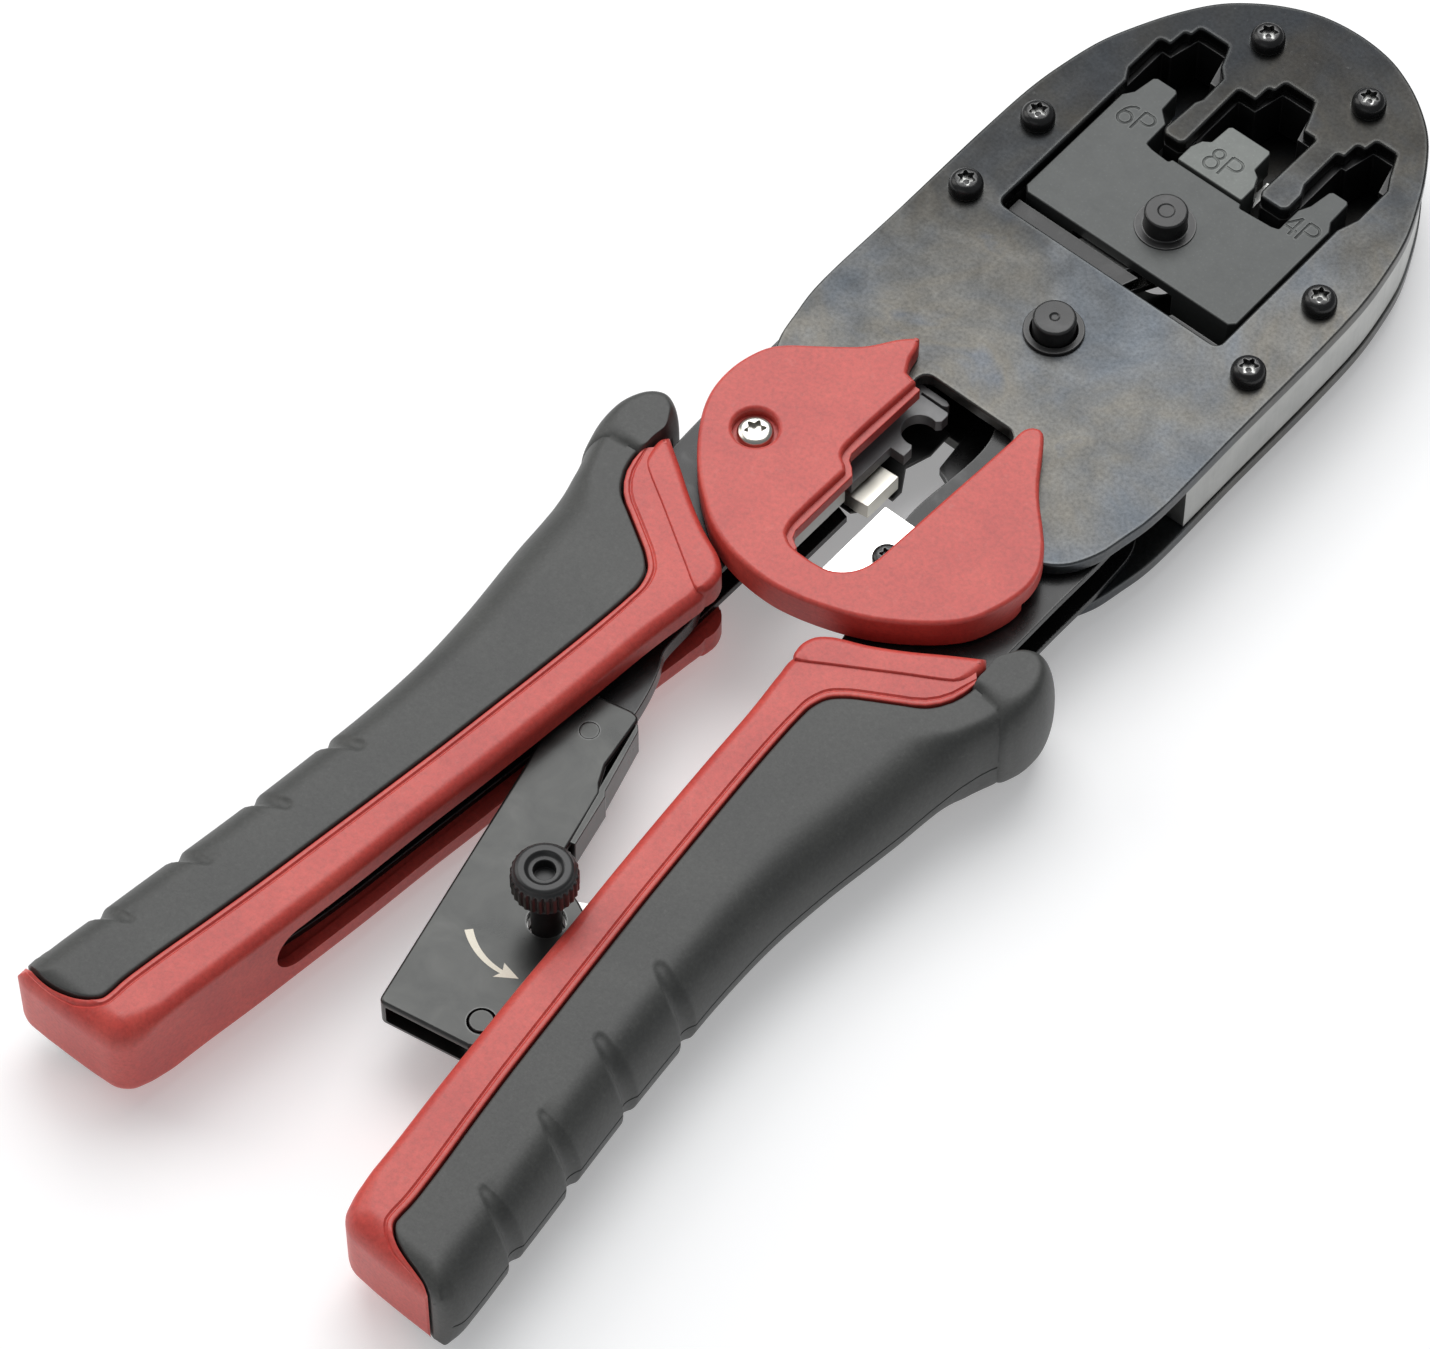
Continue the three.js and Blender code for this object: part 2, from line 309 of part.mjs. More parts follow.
// release shaft with its knurled knob, and the pawl keyed on the shaft
const knob = lathe(...KNOB, [[0, -2.3], [1.85, -2.3], [1.85, 9.7], [3.0, 9.7], [4.1, 10.3], [4.1, 13.2], [3.6, 14.2], [2.4, 14.2], [1.9, 13.7], [1.3, 13.7], [1.3, 12.2], [0, 12.2]], 24);
add('release_knob', knob, OXIDE, 0.4, 0.6);
const pawlPts = [];
for (let i = 0; i <= 14; i++) { const t = rad(95 + 260 * i / 14); pawlPts.push([KNOB[0] + 4.2 * Math.cos(t), KNOB[1] + 4.2 * Math.sin(t)]); }
pawlPts.push([12.5, -100.1], [12.35, -98.2], [11.2, -96.6], [10.3, -97.6]);
add('pawl', prism(pawlPts, -0.3, 1.3).subtract(rod(...KNOB, -10, 10, 2.25, 22)), STEEL, 0.4, 0.9);
{
  class Coil extends THREE.Curve {
    getPoint(t, target = new THREE.Vector3()) {
      const a = -0.6 + t * 2 * Math.PI * 1.6;
      return target.set(KNOB[0] + 2.75 * Math.cos(a), KNOB[1] + 2.75 * Math.sin(a), -1.25 + 0.62 * t * 1.0);
    }
  }
  const sec = new THREE.Shape(Array.from({ length: 4 }, (_, i) => new THREE.Vector2(0.17 * Math.cos(i * Math.PI / 2), 0.17 * Math.sin(i * Math.PI / 2))));
  add('pawl_spring', toSolid(new THREE.ExtrudeGeometry(sec, { steps: 20, extrudePath: new Coil(), bevelEnabled: false })), BRIGHT, 0.3, 0.95);
}

// ---------------------------------------------------------------- grips
const gripInner = [[25.4, -43.5], [21.3, -46.4], [17.15, -49.2], [13.0, -51.6], [8.9, -53.5], [7.2, -55.2], [6.75, -57.1], [7.2, -60.5], [7.75, -66], [8.6, -76], [9.5, -86], [10.5, -96], [11.4, -104], [12.4, -114.5], [13.5, -124.1], [14.3, -131], [15.5, -140], [16.3, -146.5],
  [17.0, -149.4], [18.6, -150.7]];
// outer edge: x, y and how much of the edge rounding it takes
const gripOuterW = [[26.6, -151.1, 0.15], [31.0, -151.1, 0.3], [33.6, -150.2, 0.4], [34.6, -147.8, 0.6], [33.8, -141.5, 1], [33.0, -134.9, 1], [31.9, -127, 1], [30.9, -119, 1], [30.0, -111.5, 1], [29.3, -104, 1],
  [28.8, -97.9, 1], [28.5, -90.4, 1], [28.5, -84.4, 1], [29.2, -77.9, 1], [30.5, -67.9, 1], [31.5, -58.4, 1], [32.5, -52.4, 1], [33.7, -50.2, 1], [34.5, -47.0, 1], [34.5, -43.6, 0.9], [33.3, -40.7, 0.8], [31.6, -38.9, 0.8], [29.6, -38.3, 0.8], [27.5, -39.4, 0.5], [26.5, -41.3, 0.2]];
const gripOuter = gripOuterW.map(([x, y]) => [x, y]);
const fingerGrooves = [[34.55, -138.9], [32.95, -127.2], [31.4, -115.6], [30.25, -104.0]];
const gripWeights = (inner) => [...gripInner.map(() => inner), ...gripOuterW.map((p) => p[2])];
const gripFull = [...gripInner, ...gripOuter];
const seam = [[25.6, -43.6], [26.75, -46.2], [26.7, -49.1], [25.75, -51.6], [23.75, -54.3], [21.25, -55.8], [18.25, -57.6], [15.75, -59.1], [14, -60.9], [13.3, -63.1], [13.5, -67.6], [14.25, -77.6], [15.25, -87.6], [16.25, -97.1], [17.5, -107.1], [18.75, -117.1], [19.75, -125.1],
  [21.25, -135.1], [22.5, -143.6], [23.5, -146.8], [25.4, -148.6], [31.0, -148.9], [34.9, -150.0]];
const seamIn = seam;                                     // edge of the hard core
const seamOut = seam.map(([x, y], i) => {                // edge of the rubber, a constant gap away
  const p = seam[Math.max(0, i - 1)], q = seam[Math.min(seam.length - 1, i + 1)];
  const dx = q[0] - p[0], dy = q[1] - p[1], l = Math.hypot(dx, dy);
  return [x - dy / l * GAP, y + dx / l * GAP];
});
const coreZone = [[-5, -30], [25.6, -30], ...seamIn, [45, -150.3], [45, -160], [-5, -160]];
const rubberZone = [[26.0, -30], [26.0, -43.2], ...seamOut.slice(1), [45, -149.6], [45, -30]];
const tonguePocket = [[18.6, -56.4], [25.8, -56.5], [28.9, -60], [27.2, -70], [26.2, -80], [25.8, -92], [26.3, -104], [27.2, -116], [28.4, -128], [29.6, -138], [29.8, -145.5], [22.2, -145.8], [20.0, -135], [18.5, -125], [16.3, -107], [14.1, -87.5], [12.4, -67.5], [13.0, -60.6]];
const slotDeep = [[8.6, -40], [26.2, -40], [26.4, -46], [26.0, -52], [24.4, -60], [23.6, -72], [22.8, -84], [22.6, -96], [23.4, -108], [24.4, -118], [25.4, -130], [25.6, -137.3], [19.0, -137.3], [15.6, -129.3], [14.2, -118], [12.4, -100], [10.4, -78], [9.0, -62], [8.4, -56.5]];
const slotThroat = [[4, -36], [24.4, -36], [25.6, -50], [20, -60], [20, -128.6], [15.6, -128.6], [14.3, -127.6], [4, -127.6]];
function grip(side) {
  const f = side > 0 ? (p) => p : mirror;
  const w = gripWeights(0);
  const order = side > 0 ? w : [...w].reverse();
  const full = bevelPrism(f(gripFull), -GRIP, GRIP, 1.2, 1.6, 1, order);
  let fat = bevelPrism(f(gripFull), -GRIP, GRIP, 3.4, 4.6, 4, order);
  for (const [x, y] of f(fingerGrooves)) fat = fat.subtract(rod(x, y, -10, 10, 1.6, 12));
  let core = full.intersect(prism(f(coreZone), -10, 10));
  core = core.add(prism(f(tonguePocket), -4.9, 4.9));
  core = core.subtract(prism(f(slotDeep), -SLOT_WIDE, SLOT_WIDE)).subtract(prism(f(slotThroat), -SLOT_MOUTH, SLOT_MOUTH));
  let rubber = fat.intersect(prism(f(rubberZone), -10, 10));
  const pocket = [[15, -40], [25.75, -40], [26.0, -50], [27.2, -54], [29.4, -60], [27.6, -70], [26.6, -80], [26.2, -92], [26.7, -104], [27.6, -116], [28.8, -128], [30.0, -138], [30.2, -145.9], [24.2, -146.7], [20, -146], [12, -100], [10, -60]];
  rubber = rubber.subtract(prism(f(pocket), -5.25, 5.25));
  return [core, rubber];
}
const [coreR, rubberR] = grip(1), [coreL, rubberL] = grip(-1);
add('grip_core_moving', coreR, RED, 0.45, 0.0);
add('grip_rubber_moving', rubberR, BLACK, 0.75, 0.0);
add('grip_core_fixed', coreL, RED, 0.45, 0.0);
add('grip_rubber_fixed', rubberL, BLACK, 0.75, 0.0);

// ---------------------------------------------------------------- finger guard, stripper and cutter
const guardOutline = [[-10.75, -13.25], [-12.5, -15], [-15, -18.5], [-17.5, -20.75], [-20, -22.75], [-22.5, -24.75], [-24, -26.5], [-25, -29], [-25.5, -32], [-25.25, -35.5], [-24.25, -38.5], [-22.5, -41.5], [-20, -44.75], [-17.5, -47.25], [-15, -49.25],
  [-12.5, -51], [-10, -52.15], [-7.5, -52.9], [-5, -53.3], [-2.5, -53.45], [0, -53.35], [3, -52.8], [6, -51.95], [9, -50.85], [12.5, -49.1], [16, -46.7], [19, -44.1], [21, -41.6], [22.25, -38.5], [23, -35.25], [23.1, -33], [22.5, -30.5], [21, -28], [19, -25.75],
  [16, -22.75], [14, -20.25], [12.5, -18], [11, -15.75], [10, -14.6], [9.4, -14.4], [8.5, -14.75], [7.85, -15.75], [7.75, -18], [7.5, -23], [7.1, -30.5], [6.75, -38], [6.4, -43], [5.5, -45.25], [4, -46.75], [2.5, -47.4], [-2.75, -47.4], [-4.25, -46.5],
  [-4.75, -45], [-4.75, -34.7], [-5.4, -34.0], [-6.4, -33.4], [-6.95, -32.4], [-6.75, -18.75], [-8.5, -18.4], [-9.5, -16.5], [-10, -14.5]];
const lipRegion = [[-5.9, -18.9], [-9.4, -18.9], [-9.4, -33.8], [-6.8, -35], [-6.8, -46], [-4.25, -48.2], [-2.0, -48.4], [-2.2, -46.9], [-3.5, -46.1], [-3.95, -45], [-3.95, -34.3], [-4.8, -33.4], [-5.7, -32.8], [-6.15, -31.9]];
const skirtInner = [[-22.5, -31.6], [-22.7, -33.5], [-22.2, -36.5], [-20.6, -39.9], [-18.0, -43.2], [-15.6, -45.5], [-13.3, -47.2], [-10.9, -48.8], [-8.6, -49.7], [-4.9, -50.5], [-0.5, -50.7], [4.7, -49.8], [8.6, -48.6], [12.4, -46.4], [15.6, -43.8], [18.4, -40.9], [19.9, -37.6], [20.3, -34], [19.9, -31.6]];
function guard(sign) {
  const flip = (s) => sign > 0 ? s : s.scale([1, 1, -1]);
  let g = prism(guardOutline, 6.3, GUARD_TOP);
  g = g.add(prism(lipRegion, 6.3, 8.05));
  const skirt = prism(guardOutline, 4.1, 7.0).subtract(prism([[-40, -29.9], [40, -29.9], [40, 0], [-40, 0]], 0, 10)).subtract(prism([...skirtInner, [19.9, -20], [-22.5, -20]], 0, 10));
  g = g.add(skirt).add(rod(-17.25, -37, 4.1, 7, 3.4, 12));
  g = g.subtract(rod(-17.25, -37, 7.6, 10, 2.85, 16)).subtract(rod(-17.25, -37, 0, 10, 1.55, 14));
  return flip(g);
}
add('guard_front', guard(1), RED, 0.4, 0.0);
function panScrew(x, y, z, r, h, shank, length, sides = 12) {       // head sits on z, points +Z
  let s = lathe(x, y, [[0, z - length], [shank, z - length], [shank, z], [r, z], [r, z + h * 0.55], [r * 0.86, z + h * 0.86], [r * 0.62, z + h], [0, z + h]], sides);
  const star = Array.from({ length: 6 }, (_, i) => { const q = 0.5; const a = i * Math.PI / 3; return [x + r * q * Math.cos(a), y + r * q * Math.sin(a)]; });
  return s.subtract(prism(star, z + h * 0.35, z + h + 1));
}
SCREWS.forEach(([x, y], i) => add(`head_screw_${i + 1}`, panScrew(x, y, 6.05, 2.25, 2.1, 1.6, 11.9), OXIDE, 0.35, 0.85));
add('guard_screw_front', panScrew(-17.25, -37, 7.65, 2.3, 1.0, 1.25, 7.4), BRIGHT, 0.25, 0.95);

// grey cable guide with its half-round notch, stripping blade, anvil and shear blade
const uArc = Array.from({ length: 13 }, (_, i) => { const a = rad(75 + 210 * i / 12); return [-3.9 + 2.35 * Math.cos(a), -21.3 + 2.35 * Math.sin(a)]; });
add('stripper_guide', prism([[-8.6, -15.6], [-4.2, -15.6], [-3.6, -15.9], [-3.6, -16.3], [-4.2, -16.6], [-7.4, -16.6], [-7.4, -16.9], [-3.0, -16.9], [-2.7, -17.3], [-2.7, -18.5], [-3.2, -19.0], ...uArc, [-2.9, -24.1], [-2.9, -25.6], [-5.0, -25.6], [-5.1, -33.0], [-8.6, -33.0]], 1.9, CORE), 0x76787a, 0.55, 0.5);
add('backing_plate', prism([[-8.8, -16], [-3.2, -16], [-3.0, -20], [-4.1, -23.5], [-2.2, -26.6], [-2.2, -28.4], [-3.6, -28.4], [-3.6, -31.5], [-5.0, -33.2], [-8.8, -33.2]], -2.35, -1.85), OXIDE, 0.5, 0.7);
add('stripping_blade', prism([[-8.4, -27.3], [-2.5, -27.0], [-2.5, -32.9], [-4.2, -33.1], [-8.4, -33.1]], -1.3, 1.3), BRIGHT, 0.3, 0.9);
add('anvil_rail', prism([[-8.7, -34.0], [-5.3, -34.0], [-5.3, -47.2], [-8.7, -47.2]], 1.0, 3.6), STEEL, 0.35, 0.9);
add('shear_blade', prism([[0.6, -33.4], [9.8, -33.4], [10.2, -44.9], [1.0, -46.6], [0.6, -45.6]], 3.95, 4.75).subtract(rod(5.8, -39.3, 0, 10, 1.25, 14)), BRIGHT, 0.2, 0.95);
add('blade_screw', panScrew(5.8, -39.3, 4.8, 1.9, 1.05, 0.95, 2.4), BRIGHT, 0.25, 0.95);

export default tool;
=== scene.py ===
import bpy, bmesh, json, math
import numpy as np
from mathutils import Vector, Matrix
from mathutils.geometry import delaunay_2d_cdt

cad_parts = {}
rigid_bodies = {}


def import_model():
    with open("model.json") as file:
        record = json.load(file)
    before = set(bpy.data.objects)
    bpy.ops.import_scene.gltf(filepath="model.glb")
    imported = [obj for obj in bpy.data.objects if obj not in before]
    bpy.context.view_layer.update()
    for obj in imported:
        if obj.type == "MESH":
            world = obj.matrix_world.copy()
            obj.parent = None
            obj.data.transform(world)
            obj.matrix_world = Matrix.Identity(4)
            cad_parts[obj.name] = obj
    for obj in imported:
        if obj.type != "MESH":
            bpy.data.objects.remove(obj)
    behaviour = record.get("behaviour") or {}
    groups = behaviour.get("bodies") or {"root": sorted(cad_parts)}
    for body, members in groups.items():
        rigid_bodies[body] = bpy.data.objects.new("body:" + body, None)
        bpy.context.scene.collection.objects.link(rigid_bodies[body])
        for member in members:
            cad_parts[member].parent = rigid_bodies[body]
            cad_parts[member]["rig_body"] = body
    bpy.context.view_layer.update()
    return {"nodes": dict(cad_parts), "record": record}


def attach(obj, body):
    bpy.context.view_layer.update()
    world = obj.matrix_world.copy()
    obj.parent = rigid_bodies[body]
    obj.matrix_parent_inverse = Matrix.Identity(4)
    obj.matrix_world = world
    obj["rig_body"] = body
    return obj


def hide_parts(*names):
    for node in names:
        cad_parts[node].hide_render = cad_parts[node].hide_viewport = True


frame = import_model()
scene = bpy.context.scene

# Lengths in this script are millimetres in the design frame (main pivot at x = y = 0, middle plane z = 0);
# SHIFT and MM take them to the row frame in metres.
SHIFT = np.array([0.0, 44.3, 9.0])
MM = 0.001

# ------------------------------------------------------------------ camera at the viewing angle
AZ, EL = 0.7087214483670364, 0.9847311858684561
r = Vector((math.cos(AZ), math.sin(AZ), 0.0))
b = Vector((math.cos(EL) * math.sin(AZ), -math.cos(EL) * math.cos(AZ), math.sin(EL)))
u = b.cross(r).normalized()
cam_data = bpy.data.cameras.new("camera")
cam = bpy.data.objects.new("camera", cam_data)
scene.collection.objects.link(cam)
rot = Matrix((r, u, b)).transposed().to_4x4()
eye = b * 0.8131228746 - r * 0.0421192612 - u * 0.0393853421 + Vector((0, 0.0443, 0.009))
cam.matrix_world = Matrix.Translation(eye) @ rot
cam_data.sensor_fit = "HORIZONTAL"
cam_data.sensor_width = 36
cam_data.lens = 163.64
cam_data.clip_start, cam_data.clip_end = 0.02, 20
scene.camera = cam
scene.view_settings.view_transform = "Standard"
scene.view_settings.look = "None"

# ------------------------------------------------------------------ outlines
PLATE_OUT, PLATE_IN, CORE, ARM_IN = 6.0, 4.05, 3.75, 2.65
SHEET_OUT, SHEET_IN, GRIP, GUARD_TOP = 2.35, 1.6, 7.25, 9.0
SLOT_MOUTH, SLOT_WIDE, PIVOT_R = 3.45, 4.05, 2.75
SLIDER_PIN, CRANK, RATCHET_PIVOT, KNOB = (-0.2, 22.6), (-6.6, 11.0), (-12.0, -60.0), (7.4, -103.8)
SCREWS = [(22.57, 10.28), (22.57, 24.66), (8.13, 53.68), (-8.13, 53.68), (-22.57, 24.66), (-22.57, 10.28)]
ARM_RIVETS = [(-13.8, -24.0), (-19.8, -26.2)]


def mirror(pts):
    return [(-p[0],) + tuple(p[1:]) for p in pts][::-1]


def area(pts):
    p = np.array([q[:2] for q in pts], float)
    x, y = p[:, 0], p[:, 1]
    return 0.5 * float(np.sum(x * np.roll(y, -1) - np.roll(x, -1) * y))


def ccw(pts):
    return list(pts) if area(pts) > 0 else list(pts)[::-1]


def fillet(pts, default=0.0, steps=4):
    """Closed polygon with rounded corners; a point may carry its own radius."""
    out, n = [], len(pts)
    for i in range(n):
        x, y = pts[i][:2]
        rad = pts[i][2] if len(pts[i]) > 2 else default
        a = np.array(pts[i - 1][:2], float) - (x, y)
        c = np.array(pts[(i + 1) % n][:2], float) - (x, y)
        la, lc = np.hypot(*a), np.hypot(*c)
        a, c = a / la, c / lc
        cosang = float(np.clip(a @ c, -1, 1))
        half = math.acos(cosang) / 2
        if rad <= 0 or half > math.radians(86):
            out.append((x, y))
            continue
        t = min(rad / math.tan(half), la * 0.46, lc * 0.46)
        s, e, m = np.array((x, y)) + a * t, np.array((x, y)) + c * t, np.array((x, y), float)
        # true arc between s and e
        rr = t * math.tan(half)
        centre = m + (a + c) / np.linalg.norm(a + c) * (rr / math.sin(half))
        a0, a1 = math.atan2(*(s - centre)[::-1]), math.atan2(*(e - centre)[::-1])
        d = (a1 - a0 + math.pi) % (2 * math.pi) - math.pi
        k = max(2, int(round(steps * abs(d) / 1.2)))
        for j in range(k + 1):
            ang = a0 + d * j / k
            out.append((centre[0] + rr * math.cos(ang), centre[1] + rr * math.sin(ang)))
    return out


def hermite(knots, values, at):
    """Non-uniform Catmull-Rom through values at knots."""
    t, v, at = np.asarray(knots, float), np.asarray(values, float), np.asarray(at, float)
    h = np.diff(t)
    s = np.diff(v, axis=0) / h[:, None]
    m = np.empty_like(v)
    m[1:-1] = (s[:-1] * h[1:, None] + s[1:] * h[:-1, None]) / (h[:-1] + h[1:])[:, None]
    m[0], m[-1] = s[0], s[-1]
    i = np.clip(np.searchsorted(t, at, side="right") - 1, 0, len(h) - 1)
    x = ((at - t[i]) / h[i])[:, None]
    hh = h[i][:, None]
    return ((2 * x**3 - 3 * x**2 + 1) * v[i] + (x**3 - 2 * x**2 + x) * hh * m[i]
            + (-2 * x**3 + 3 * x**2) * v[i + 1] + (x**3 - x**2) * hh * m[i + 1])


def smooth(pts, step=0.7, corner=34.0, closed=True):
    """Curve through the points, keeping corners sharper than the given angle."""
    p = np.array([q[:2] for q in pts], float)
    n = len(p)
    if closed:
        e0, e1 = p - np.roll(p, 1, 0), np.roll(p, -1, 0) - p
        ang = np.degrees(np.abs((np.arctan2(e1[:, 1], e1[:, 0]) - np.arctan2(e0[:, 1], e0[:, 0]) + np.pi) % (2 * np.pi) - np.pi))
        hard = [i for i in range(n) if ang[i] > corner]
        if not hard:
            q = np.vstack([p[-3:], p, p[:4]])
            t = np.concatenate([[0], np.cumsum(np.sqrt(np.hypot(*np.diff(q, axis=0).T)))])
            out = []
            for i in range(3, 3 + n):
                k = max(1, int(round(np.hypot(*(q[i + 1] - q[i])) / step)))
                out.append(hermite(t, q, np.linspace(t[i], t[i + 1], k, endpoint=False)))
            return [tuple(x) for x in np.vstack(out)]
        out = []
        for a, c in zip(hard, hard[1:] + [hard[0] + n]):
            seg = p[[i % n for i in range(a, c + 1)]]
            out += smooth(seg, step, corner, False)[:-1]
        return out
    if n < 3:
        k = 1
        return [tuple(p[0] + (p[1] - p[0]) * j / k) for j in range(k + 1)]
    t = np.concatenate([[0], np.cumsum(np.sqrt(np.hypot(*np.diff(p, axis=0).T)))])
    out = []
    for i in range(n - 1):
        k = max(1, int(round(np.hypot(*(p[i + 1] - p[i])) / step)))
        out.append(hermite(t, p, np.linspace(t[i], t[i + 1], k, endpoint=False)))
    return [tuple(x) for x in np.vstack(out)] + [tuple(p[-1])]


def circle(cx, cy, rad, n=48):
    return [(cx + rad * math.cos(2 * math.pi * i / n), cy + rad * math.sin(2 * math.pi * i / n)) for i in range(n)]


def capsule(a, c, rad, steps=16):
    ang = math.atan2(c[1] - a[1], c[0] - a[0])
    pts = [(c[0] + rad * math.cos(ang - math.pi / 2 + math.pi * i / steps), c[1] + rad * math.sin(ang - math.pi / 2 + math.pi * i / steps)) for i in range(steps + 1)]
    return pts + [(a[0] + rad * math.cos(ang + math.pi / 2 + math.pi * i / steps), a[1] + rad * math.sin(ang + math.pi / 2 + math.pi * i / steps)) for i in range(steps + 1)]


def inset(pts, d, w=None):
    p = np.array([q[:2] for q in pts], float)
    e0, e1 = p - np.roll(p, 1, 0), np.roll(p, -1, 0) - p
    e0 /= np.maximum(1e-9, np.hypot(*e0.T))[:, None]
    e1 /= np.maximum(1e-9, np.hypot(*e1.T))[:, None]
    n0, n1 = np.stack([-e0[:, 1], e0[:, 0]], 1), np.stack([-e1[:, 1], e1[:, 0]], 1)
    n = n0 + n1
    n /= np.maximum(1e-6, np.hypot(*n.T))[:, None]
    c = np.maximum(0.6, np.sum(n * n0, 1))
    k = np.ones(len(p)) if w is None else np.asarray(w, float)
    return p + n * (d / c * k)[:, None]


def fill(loops):
    """Triangles between closed loops, as indices into the loops laid end to end."""
    pts = np.vstack(loops)
    edges, start = [], 0
    for l in loops:
        n = len(l)
        edges += [(start + i, start + (i + 1) % n) for i in range(n)]
        start += n
    vs, es, fs, ov, oe, of_ = delaunay_2d_cdt([Vector((float(x), float(y))) for x, y in pts], edges, [], 1, 1e-7)
    at = []
    for i, v in enumerate(vs):
        at.append(ov[i][0] if ov[i] else int(np.argmin(np.hypot(pts[:, 0] - v[0], pts[:, 1] - v[1]))))
    tris = [[at[i] for i in f] for f in fs]
    keep = []
    for t in tris:
        if len(set(t)) < 3:
            continue
        c = pts[t].mean(0)
        inside = False
        for l in loops:
            x, y = l[:, 0], l[:, 1]
            x2, y2 = np.roll(x, -1), np.roll(y, -1)
            cross = ((y > c[1]) != (y2 > c[1]))
            with np.errstate(divide="ignore", invalid="ignore"):
                xi = (x2 - x) * (c[1] - y) / (y2 - y) + x
            if np.count_nonzero(cross & (c[0] < xi)) % 2:
                inside = not inside
        if inside:
            a, d, e = pts[t]
            if (d[0] - a[0]) * (e[1] - a[1]) - (d[1] - a[1]) * (e[0] - a[0]) < 0:
                t = t[::-1]
            keep.append(t)
    return keep


def new_object(name, verts, faces, weld=2e-6, axes=None):
    v = np.array(verts, float)
    if axes is not None:
        v = v @ np.array(axes, float).T
    v = (v + SHIFT) * MM
    me = bpy.data.meshes.new(name)
    me.from_pydata(v.tolist(), [], [tuple(int(i) for i in f) for f in faces])
    bm = bmesh.new()
    bm.from_mesh(me)
    bmesh.ops.remove_doubles(bm, verts=bm.verts, dist=weld)
    bmesh.ops.dissolve_degenerate(bm, dist=1e-7, edges=bm.edges)
    bmesh.ops.recalc_face_normals(bm, faces=bm.faces)
    bm.to_mesh(me)
    bm.free()
    o = bpy.data.objects.new(name, me)
    scene.collection.objects.link(o)
    return o


def plate(name, outer, z0, z1, top=0.2, bottom=None, holes=(), seg=3, weights=None, axes=None):
    """Flat piece between two levels with rolled edges; every loop is kept with its material on the left."""
    bottom = top if bottom is None else bottom
    o = [tuple(q[:2]) for q in outer]
    w = weights
    if area(o) < 0:
        o = o[::-1]
        w = None if w is None else list(w)[::-1]
    loops = [(np.array(o), w)] + [(np.array([tuple(q[:2]) for q in (h[::-1] if area(h) > 0 else h)]), None) for h in holes]
    levels = []
    for i in range(seg + 1):
        t = math.pi / 2 * i / seg
        levels.append((z0 + bottom * (1 - math.sin(t)), bottom * (1 - math.cos(t)) if bottom else 0.0))
    levels = [(z0 + bottom * (1 - math.sin(math.pi / 2 * (1 - i / seg))), bottom * (1 - math.cos(math.pi / 2 * (1 - i / seg)))) for i in range(seg + 1)] if bottom else [(z0, 0.0)]
    levels += [(z1 - top * (1 - math.sin(math.pi / 2 * i / seg)), top * (1 - math.cos(math.pi / 2 * i / seg))) for i in range(seg + 1)] if top else [(z1, 0.0)]
    verts, faces = [], []
    caps = {0: [], len(levels) - 1: []}
    base = []
    for pts, ww in loops:
        first = len(verts)
        n = len(pts)
        for k, (z, d) in enumerate(levels):
            q = inset(pts, d, ww) if d else pts
            if k in caps:
                caps[k].append((q, len(verts)))
            verts += [(x, y, z) for x, y in q]
        for k in range(len(levels) - 1):
            for i in range(n):
                j = (i + 1) % n
                p = first + k * n
                faces.append((p + i, p + j, p + n + j, p + n + i))
    for k, turn in ((0, True), (len(levels) - 1, False)):
        rings = [q for q, _ in caps[k]]
        at = np.concatenate([np.arange(s, s + len(q)) for q, s in caps[k]])
        for t in fill(rings):
            t = [int(at[i]) for i in t]
            faces.append(t[::-1] if turn else t)
    return new_object(name, verts, faces, axes=axes)


def lathe(name, cx, cy, profile, seg=64, knurl=None):
    """Profile of (radius, z), bottom to top, closed on the axis. knurl = (z low, z high, teeth, depth)."""
    verts, faces, rings = [], [], []
    for rad, z in profile:
        if rad <= 1e-9:
            rings.append([len(verts)])
            verts.append((cx, cy, z))
            continue
        ring = []
        for i in range(seg):
            a = 2 * math.pi * i / seg
            rr = rad
            if knurl and knurl[0] <= z <= knurl[1] and rad > knurl[4]:
                k = (a * knurl[2] / (2 * math.pi)) % 1.0
                rr = rad - knurl[3] * (1 - abs(math.sin(math.pi * k)) ** 0.8)
            ring.append(len(verts))
            verts.append((cx + rr * math.cos(a), cy + rr * math.sin(a), z))
        rings.append(ring)
    for p, q in zip(rings, rings[1:]):
        if len(p) == 1 and len(q) == 1:
            continue
        for i in range(seg):
            j = (i + 1) % seg
            if len(p) == 1:
                faces.append((p[0], q[j], q[i]))
            elif len(q) == 1:
                faces.append((p[i], p[j], q[0]))
            else:
                faces.append((p[i], p[j], q[j], q[i]))
    return new_object(name, verts, faces)


def rolled(profile, steps=4):
    """Open profile with rounded corners: each point is (radius, z, rounding)."""
    out, n = [], len(profile)
    for i, p in enumerate(profile):
        rad = p[2] if len(p) > 2 else 0
        if i in (0, n - 1) or rad <= 0:
            out.append((p[0], p[1]))
            continue
        x, y = p[:2]
        a = np.array(profile[i - 1][:2], float) - (x, y)
        c = np.array(profile[i + 1][:2], float) - (x, y)
        la, lc = np.hypot(*a), np.hypot(*c)
        t = min(rad, la * 0.49, lc * 0.49)
        s, e = np.array((x, y)) + a / la * t, np.array((x, y)) + c / lc * t
        for j in range(steps + 1):
            k = j / steps
            q = (1 - k) ** 2 * s + 2 * k * (1 - k) * np.array((x, y)) + k**2 * e
            out.append((max(0.0, q[0]), q[1]))
    return out


